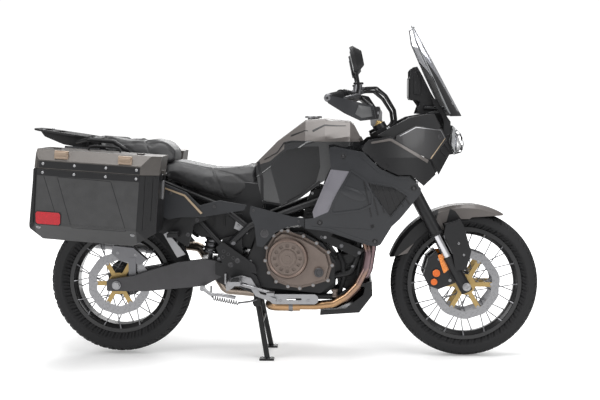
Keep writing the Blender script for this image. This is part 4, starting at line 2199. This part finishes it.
@dataclass
class Chassis:
    """Foot pegs, their hangers, the tray, the shock's spring, axle nuts, the brake lever and stand treads."""

    peg_low: float = 178.0
    peg_high: float = 288.0
    spring_turns: float = 7.5
    wire_r: float = 5.2
    peg_hanger: tuple[Flat, ...] = (
        (-284, 344), (-281, 311), (-255, 325), (-223, 354), (-191, 348), (-173, 324), (-153, 292),
        (-108, 275), (-63, 262), (-63, 280), (-95, 292), (-133, 303), (-149, 332),
        (-171, 370), (-210, 382), (-261, 370),
    )

    def pegs(self) -> None:
        """Teeth and rubbers on the rider's pegs, ribs on the passenger's."""
        teeth = Shape()
        for k in range(9):
            y = self.peg_low + k * (self.peg_high - self.peg_low - 8) / 8
            for x in (-260.5, -211.5):
                place = Matrix.Translation(spot(x, -y - 4, 370))
                teeth.prism([(-0.0014, -0.004), (0.0014, -0.004), (0.0014, 0.004), (-0.0014, 0.004)],
                    -0.002, 0.006, place)
        teeth.flipped().piece("peg_teeth", COAT.dark_steel, "chassis", "alloy")
        pads = Shape()
        for k in range(5):
            pads.block((0.030, 0.012, 0.0045), Matrix.Translation(spot(-236, -196 - k * 20, 369.5)))
        for k in range(6):
            pads.block((0.040, 0.007, 0.004), Matrix.Translation(spot(-504, -188 - k * 12.6, 571.8)))
        pads.flipped().piece("peg_rubbers", COAT.grip_rubber, "chassis", "rubber", bevel=0.001)

    def heels(self) -> None:
        """The pegs' bright faces, and the rings and screws of the heel plates."""
        dress_where("footrests", COAT.silver, lambda c, n: 0.186 < abs(c.y) < 0.292 and c.z < 0.375)
        holes = Shape()
        for x, z in ((-292, 487), (-272, 474), (-296, 462), (-250, 458)):
            found = Skin("footrests").hit(spot(x, -400, z), FROM_RIGHT)
            if found:
                place = turned_to(found[1], found[0])
                holes.lathe([(0.0052, -0.001), (0.0078, -0.001), (0.0072, 0.0014), (0.0056, 0.0014),
                    (0.0052, -0.001)], place, 20)
        holes.flipped().piece("heel_rings", COAT.arm_grey, "chassis", "dark_steel")
        bolts = Shape()
        bolts.bolts("footrests", [(-232, -400, 446), (-262, -400, 428)], FROM_RIGHT, 9, 6)
        bolts.bolts("footrests", [(-407, -400, 624), (-448, -400, 560)], FROM_RIGHT, 7, 5)
        bolts.flipped().piece("footrest_bolts", COAT.arm_grey, "chassis", "dark_steel")

    def tray(self) -> None:
        """The dark tray and its ribs between the subframe's tubes."""
        tray = Shape()
        outline = ((-474, 706), (-452, 590), (-400, 540), (-330, 540), (-226, 500), (-170, 486),
            (-140, 600), (-118, 700), (-116, 778), (-200, 786), (-300, 742), (-440, 748))
        tray.sheet(outline, lambda x: 104, 58)
        tray.flipped().piece("seat_tray", COAT.black_plastic, "chassis", "black_plastic", bevel=0.004)
        ribs = Shape()
        for k in range(5):
            x = -436 + k * 46
            ribs.sheet(((x, 590), (x + 7, 590), (x + 7, 700), (x, 700)), lambda x: 109, 7)
        ribs.sheet(((-455, 640), (-215, 640), (-215, 648), (-455, 648)), lambda x: 110, 8)
        ribs.sheet(((-600, 660), (-462, 660), (-462, 580), (-530, 549), (-590, 570)), lambda x: 150, 44)
        ribs.flipped().piece("tray_ribs", COAT.satin_black, "chassis", "black_plastic", bevel=0.001)

    def hangers(self) -> None:
        """The castings and plates that carry the pegs, the brake lever, and the stand's spring."""
        arm = Shape()
        arm.sheet(self.peg_hanger, lambda x: 184, 12)
        arm.bolt(facing(-1, -268, -184, 340), 0.008, 0.005)
        arm.bolt(facing(-1, -166, -184, 334), 0.005, 0.004)
        arm.sheet(((-551, 564), (-533, 573), (-456, 476), (-492, 462)), lambda x: 200, 9)
        arm.bar([spot(-500, -177, 530), spot(-500, -193, 518)], 0.009)
        arm.flipped().piece("peg_hangers", COAT.silver, "chassis", "alloy", bevel=0.0016)
        lever = Shape()
        lever.bar([spot(-384, -186, 325), spot(-350, -186, 300), spot(-300, -184, 296),
            spot(-240, -180, 284)], 0.008, 14)
        lever.lathe([(0, -0.006), (0.013, -0.006), (0.013, 0.006), (0, 0.006)], facing(-1, -384, -186, 325),
            28)
        lever.bar([spot(-283, -184, 390), spot(-284, -184, 345)], 0.005, 12)
        lever.piece("brake_lever", COAT.silver, "chassis", "alloy")
        coil = Shape()
        route = []
        for k in range(133):
            angle = math.radians(k * 30)
            middle = spot(-345, -150, 277).lerp(spot(-233, -150, 255), k / 132)
            route.append(middle + Vector((0, 0.009 * math.cos(angle), 0.009 * math.sin(angle))))
        coil.bar(route, 0.0022, 8)
        coil.bar([spot(-233, -150, 255), spot(-180, -150, 262), spot(-150, -140, 270)], 0.004)
        coil.bar([spot(-345, -150, 277), spot(-352, -146, 300), spot(-352, -140, 330)], 0.004)
        coil.piece("stand_spring", COAT.dark_steel, "chassis", "dark_steel")

    def shock(self) -> None:
        """The coil spring and collars round the shock's body."""
        low, high = spot(-371, 0, 440), spot(-330, 0, 640)
        axis = (high - low).normalized()
        side = axis.orthogonal().normalized()
        across = axis.cross(side)
        route = []
        count = int(self.spring_turns * 18)
        for i in range(count + 1):
            angle = 2 * math.pi * self.spring_turns * i / count
            r = (32 + self.wire_r * 0.6) * MM
            share = 0.16 + 0.74 * i / count
            point = low.lerp(high, share)
            route.append(point + side * (r * math.cos(angle)) + across * (r * math.sin(angle)))
        Shape().bar(route, self.wire_r * MM, 8).piece("shock_spring", COAT.spring, "chassis", "dark_steel")
        collars = Shape()
        for share in (0.125, 0.93):
            place = turned_to(axis, low.lerp(high, share))
            collars.lathe([(0.031, -0.004), (0.0405, -0.004), (0.0405, 0.004), (0.031, 0.004),
                (0.031, -0.004)], place, 36)
        collars.piece("shock_collars", COAT.dark_steel, "chassis", "dark_steel")

    def axles(self) -> None:
        """Rear axle nut, swingarm pivot caps, and the screws of the final drive and the rear caliper."""
        shape = Shape()
        right = facing(-1, -770, -164, 331)
        shape.lathe([(0, -0.012), (0.019, -0.012), (0.019, -0.0075), (0, -0.0075)], right, 36)
        shape.lathe([(0, -0.0075), (0.0165, -0.0075), (0.0165, 0.0015), (0.015, 0.003), (0, 0.003)], right,
            6)
        for side in (-1, 1):
            pivot = facing(side, -300, side * 158, 405)
            shape.lathe([(0, -0.002), (0.0185, -0.002), (0.0185, 0.003), (0.0165, 0.005), (0.009, 0.005),
                (0.0085, 0.002), (0, 0.002)], pivot, 36)
        for k in range(8):
            angle = 2 * math.pi * (k + 0.5) / 8
            shape.bolts("swingarm", [(-770 + 72 * math.cos(angle), 300, 331 + 72 * math.sin(angle))],
                (0, -1, 0), 5, 5)
        shape.bolts("swingarm", [(-770, 300, 331)], FROM_LEFT, 13, 6, False)
        shape.piece("chassis_bolts", COAT.silver, "chassis", "alloy")
        caliper = Shape().bolts("rear_caliper", [(-770, -300, 470), (-690, -300, 462)], FROM_RIGHT, 5, 4)
        caliper.piece("rear_caliper_screws", COAT.silver, "chassis", "alloy")

    def stands(self) -> None:
        """The tread on the centre stand's feet."""
        treads = Shape()
        for side in (-1, 1):
            for k in range(4):
                place = Matrix.Translation(spot(-128 + k * 14, side * 136, 7.6))
                treads.block((0.003, 0.040, 0.0035), place)
        treads.piece("stand_treads", COAT.dark_steel, "centre_stand", "frame_black")

    def frame_bolts(self) -> None:
        """Screws in the frame's pivot plates and the case carriers."""
        shape = Shape()
        for x, z in ((-250, 522), (-316, 446), (-268, 334)):
            shape.bolts("main_frame", [(x, -300, z)], FROM_RIGHT, 7, 5)
        for x, z in ((-880, 832), (-700, 818)):
            shape.bolts("case_carriers", [(x, -400, z)], FROM_RIGHT, 6, 3)
        shape.flipped().piece("frame_screws", COAT.dark_steel, "chassis", "dark_steel")

    def build(self) -> None:
        """Makes and dresses the chassis's details."""
        self.pegs()
        self.heels()
        self.hangers()
        self.tray()
        self.shock()
        self.axles()
        self.stands()
        self.frame_bolts()


# ---------------------------------------------------------------- studio


@dataclass
class Studio:
    """A pale floor, soft light from above and both sides, and the camera."""

    camera_at: Point = (0.2554, -5.0221, 1.1113)
    yaw: float = -0.039
    pitch: float = 0.082
    roll: float = -0.001
    lens: float = 67.35
    floor_half: float = 30.0
    floor_glow: float = 0.24
    side_glow: float = 0.12
    room_light: float = 0.36

    def camera(self) -> None:
        """Places the camera on the machine's right."""
        ahead = Vector((math.sin(self.yaw) * math.cos(self.pitch),
            math.cos(self.yaw) * math.cos(self.pitch), -math.sin(self.pitch)))
        right = Vector((math.cos(self.yaw), -math.sin(self.yaw), 0))
        up = right.cross(ahead)
        turn = Matrix((right, up, -ahead)).transposed().to_4x4()
        data = bpy.data.cameras.new("camera")
        data.lens = self.lens
        data.sensor_width = 36
        made = bpy.data.objects.new("camera", data)
        place = Matrix.Translation(Vector(self.camera_at)) @ turn
        made.matrix_world = place @ Matrix.Rotation(self.roll, 4, "Z")
        bpy.context.scene.collection.objects.link(made)
        bpy.context.scene.camera = made

    def lamp(self, name: str, at: Point, aim: Point, size: float, power: float) -> None:
        """Adds one soft box.

        Args:
            name: its name.
            at: where it hangs.
            aim: the point that it faces.
            size: its side.
            power: its power in watts.
        """
        data = bpy.data.lights.new(name, "AREA")
        data.shape = "SQUARE"
        data.size = size
        data.energy = power
        made = bpy.data.objects.new(name, data)
        turn = (Vector(aim) - Vector(at)).to_track_quat("-Z", "Y").to_matrix().to_4x4()
        made.matrix_world = Matrix.Translation(Vector(at)) @ turn
        bpy.context.scene.collection.objects.link(made)

    def build(self) -> None:
        """Makes floor, sky and lamps."""
        data = bpy.data.meshes.new("floor")
        half = self.floor_half
        data.from_pydata([(-half, -half, 0), (half, -half, 0), (half, half, 0), (-half, half, 0)], [],
            [(0, 1, 2, 3)])
        floor = bpy.data.objects.new("floor", data)
        bpy.context.scene.collection.objects.link(floor)
        tree = Tree("floor_paper")
        tree.feed("Base Color", (0.9, 0.9, 0.9))
        tree.feed("Roughness", 0.9)
        tree.feed("Specular IOR Level", 0.1)
        x, y, _ = tree.axes()
        away = tree.node("ShaderNodeMath", {"operation": "SQRT"}, x * x + y * y)
        seen = tree.node("ShaderNodeLightPath", {}, out="Is Camera Ray")
        glow = tree.blend(away.above(2.4, 2.6), (self.floor_glow,) * 3, (1, 1, 1))
        tree.feed("Emission Color", tree.blend(seen, (self.side_glow,) * 3, glow))
        tree.feed("Emission Strength", 1)
        data.materials.append(tree.material)
        self.sky()
        self.lamp("top_box", (0, -0.3, 4.4), (0, 0, 0.6), 3.6, 200)
        self.lamp("front_box", (2.9, -3.4, 2.8), (0.2, 0, 0.7), 2, 70)
        self.lamp("rear_box", (-3.2, -3, 2.6), (-0.3, 0, 0.7), 2, 60)
        self.lamp("far_box", (0, 4, 2.8), (0, 0, 0.7), 2.6, 90)

    def sky(self) -> None:
        """A white backdrop whose own light is dim, so that dark paint stays dark."""
        world = bpy.data.worlds.new("white_room")
        world.use_nodes = True
        tree = world.node_tree
        path = tree.nodes.new("ShaderNodeLightPath")
        level = tree.nodes.new("ShaderNodeMapRange")
        level.inputs["To Min"].default_value = self.room_light
        level.inputs["To Max"].default_value = 1.05
        tree.links.new(path.outputs["Is Camera Ray"], level.inputs["Value"])
        sky = tree.nodes["Background"]
        sky.inputs["Color"].default_value = (1, 1, 1, 1)
        tree.links.new(level.outputs[0], sky.inputs["Strength"])
        bpy.context.scene.world = world


def dress_nodes() -> None:
    """Gives every CAD node its main finish."""
    f = COAT
    dress(f.rim_black, "front_rim", "rear_rim")
    dress(f.spoke_steel, "front_hub", "rear_hub")
    dress(f.disc_steel, "front_rotors", "rear_rotor")
    dress(f.satin_black, "axle_holders", "fork_tubes", "triple_clamps", "handlebar", "main_frame",
        "subframe")
    dress(f.arm_grey, "swingarm")
    dress(f.satin_black, "grab_rails", "centre_stand", "side_stand", "case_carriers", "rear_rack",
        "skid_plate", "footrests")
    dress(f.chrome, "fork_sliders")
    dress(f.silver, "risers", "pedals", "fuel_cap")
    dress(f.black_plastic, "guards", "mirrors", "headlight_housing", "instrument_mount", "rear_fender",
        "upper_cowls")
    dress(f.grip_rubber, "grips", "brake_hoses")
    dress(f.dark_steel, "controls", "rear_caliper", "rear_shock")
    dress(f.caliper_black, "front_calipers")
    dress(FENDER, "front_fender")
    dress(TANK, "fuel_tank")
    dress(f.engine_black, "engine")
    dress(f.bronze, "engine_covers")
    dress(f.exhaust, "exhaust_headers")
    dress(f.silencer, "silencer")
    dress(f.core, "radiator")
    dress(COWL, "lower_cowls")
    dress(f.satin_charcoal, "tail_panels")
    dress(NOSE, "nose_cowl")
    dress(f.strut_grey, "side_struts")
    dress(f.lamp_clear, "headlight_lens")
    dress(SCREEN, "windscreen")
    dress(f.red, "tail_light")
    dress(f.amber, "indicators")
    dress(CASE, "pannier_left", "pannier_right")
    dress(f.case_lid, "lid_left", "lid_right")


def wheel_gold(node: str, axle: Flat, radius: float) -> None:
    """Gives a rotor node's carrier its gold finish, inside a radius in millimetres."""
    centre = spot(axle[0], 0, axle[1])
    dress_where(node, COAT.gold, lambda c, n: math.hypot(c.x - centre.x, c.z - centre.z) < radius * MM)


def main() -> None:
    """Builds the machine's looks piece by piece."""
    logging.basicConfig(level=logging.INFO, format="%(message)s")
    bpy.context.scene.view_settings.view_transform = "Standard"
    studio = Studio()
    studio.camera()
    studio.build()
    dress_nodes()
    wheel_gold("front_rotors", (770, 329), 117.5)
    wheel_gold("rear_rotor", (-770, 331), 100)
    Tyre("front_tyre", "front_wheel", "front_tyre", 54, 0.047).build()
    Tyre("rear_tyre", "rear_wheel", "rear_tyre", 48, 0.066).build()
    WheelFittings("front", "front_wheel", (770, 329), 241, 70, 41, 35, 155, 36, 117, (-62, 62), 47).build()
    WheelFittings("rear", "rear_wheel", (-770, 331), 218, 110, 53, 51, 141, 40, 101, (-92.8,), 59).build()
    Fork().build()
    Cockpit().build()
    Front().build()
    Bodywork().build()
    SideCase(-1, "right").build()
    SideCase(1, "left").build()
    Motor().build()
    Chassis().build()
    rider_seams = (
        lambda p: (p.x + 0.30) * 0.92 + (p.z - 0.80) * 0.38,
        lambda p: abs(p.y) - 0.105,
    )
    Seat("rider_seat", 0.8, rider_seams).build()
    pillion_seams = (
        lambda p: (p.x + 0.60) * 0.9 + (p.z - 0.92) * 0.42,
        lambda p: abs(p.y) - 0.1,
    )
    Seat("pillion_seat", 0.8, pillion_seams).build()


if __name__ == "__main__":
    main()
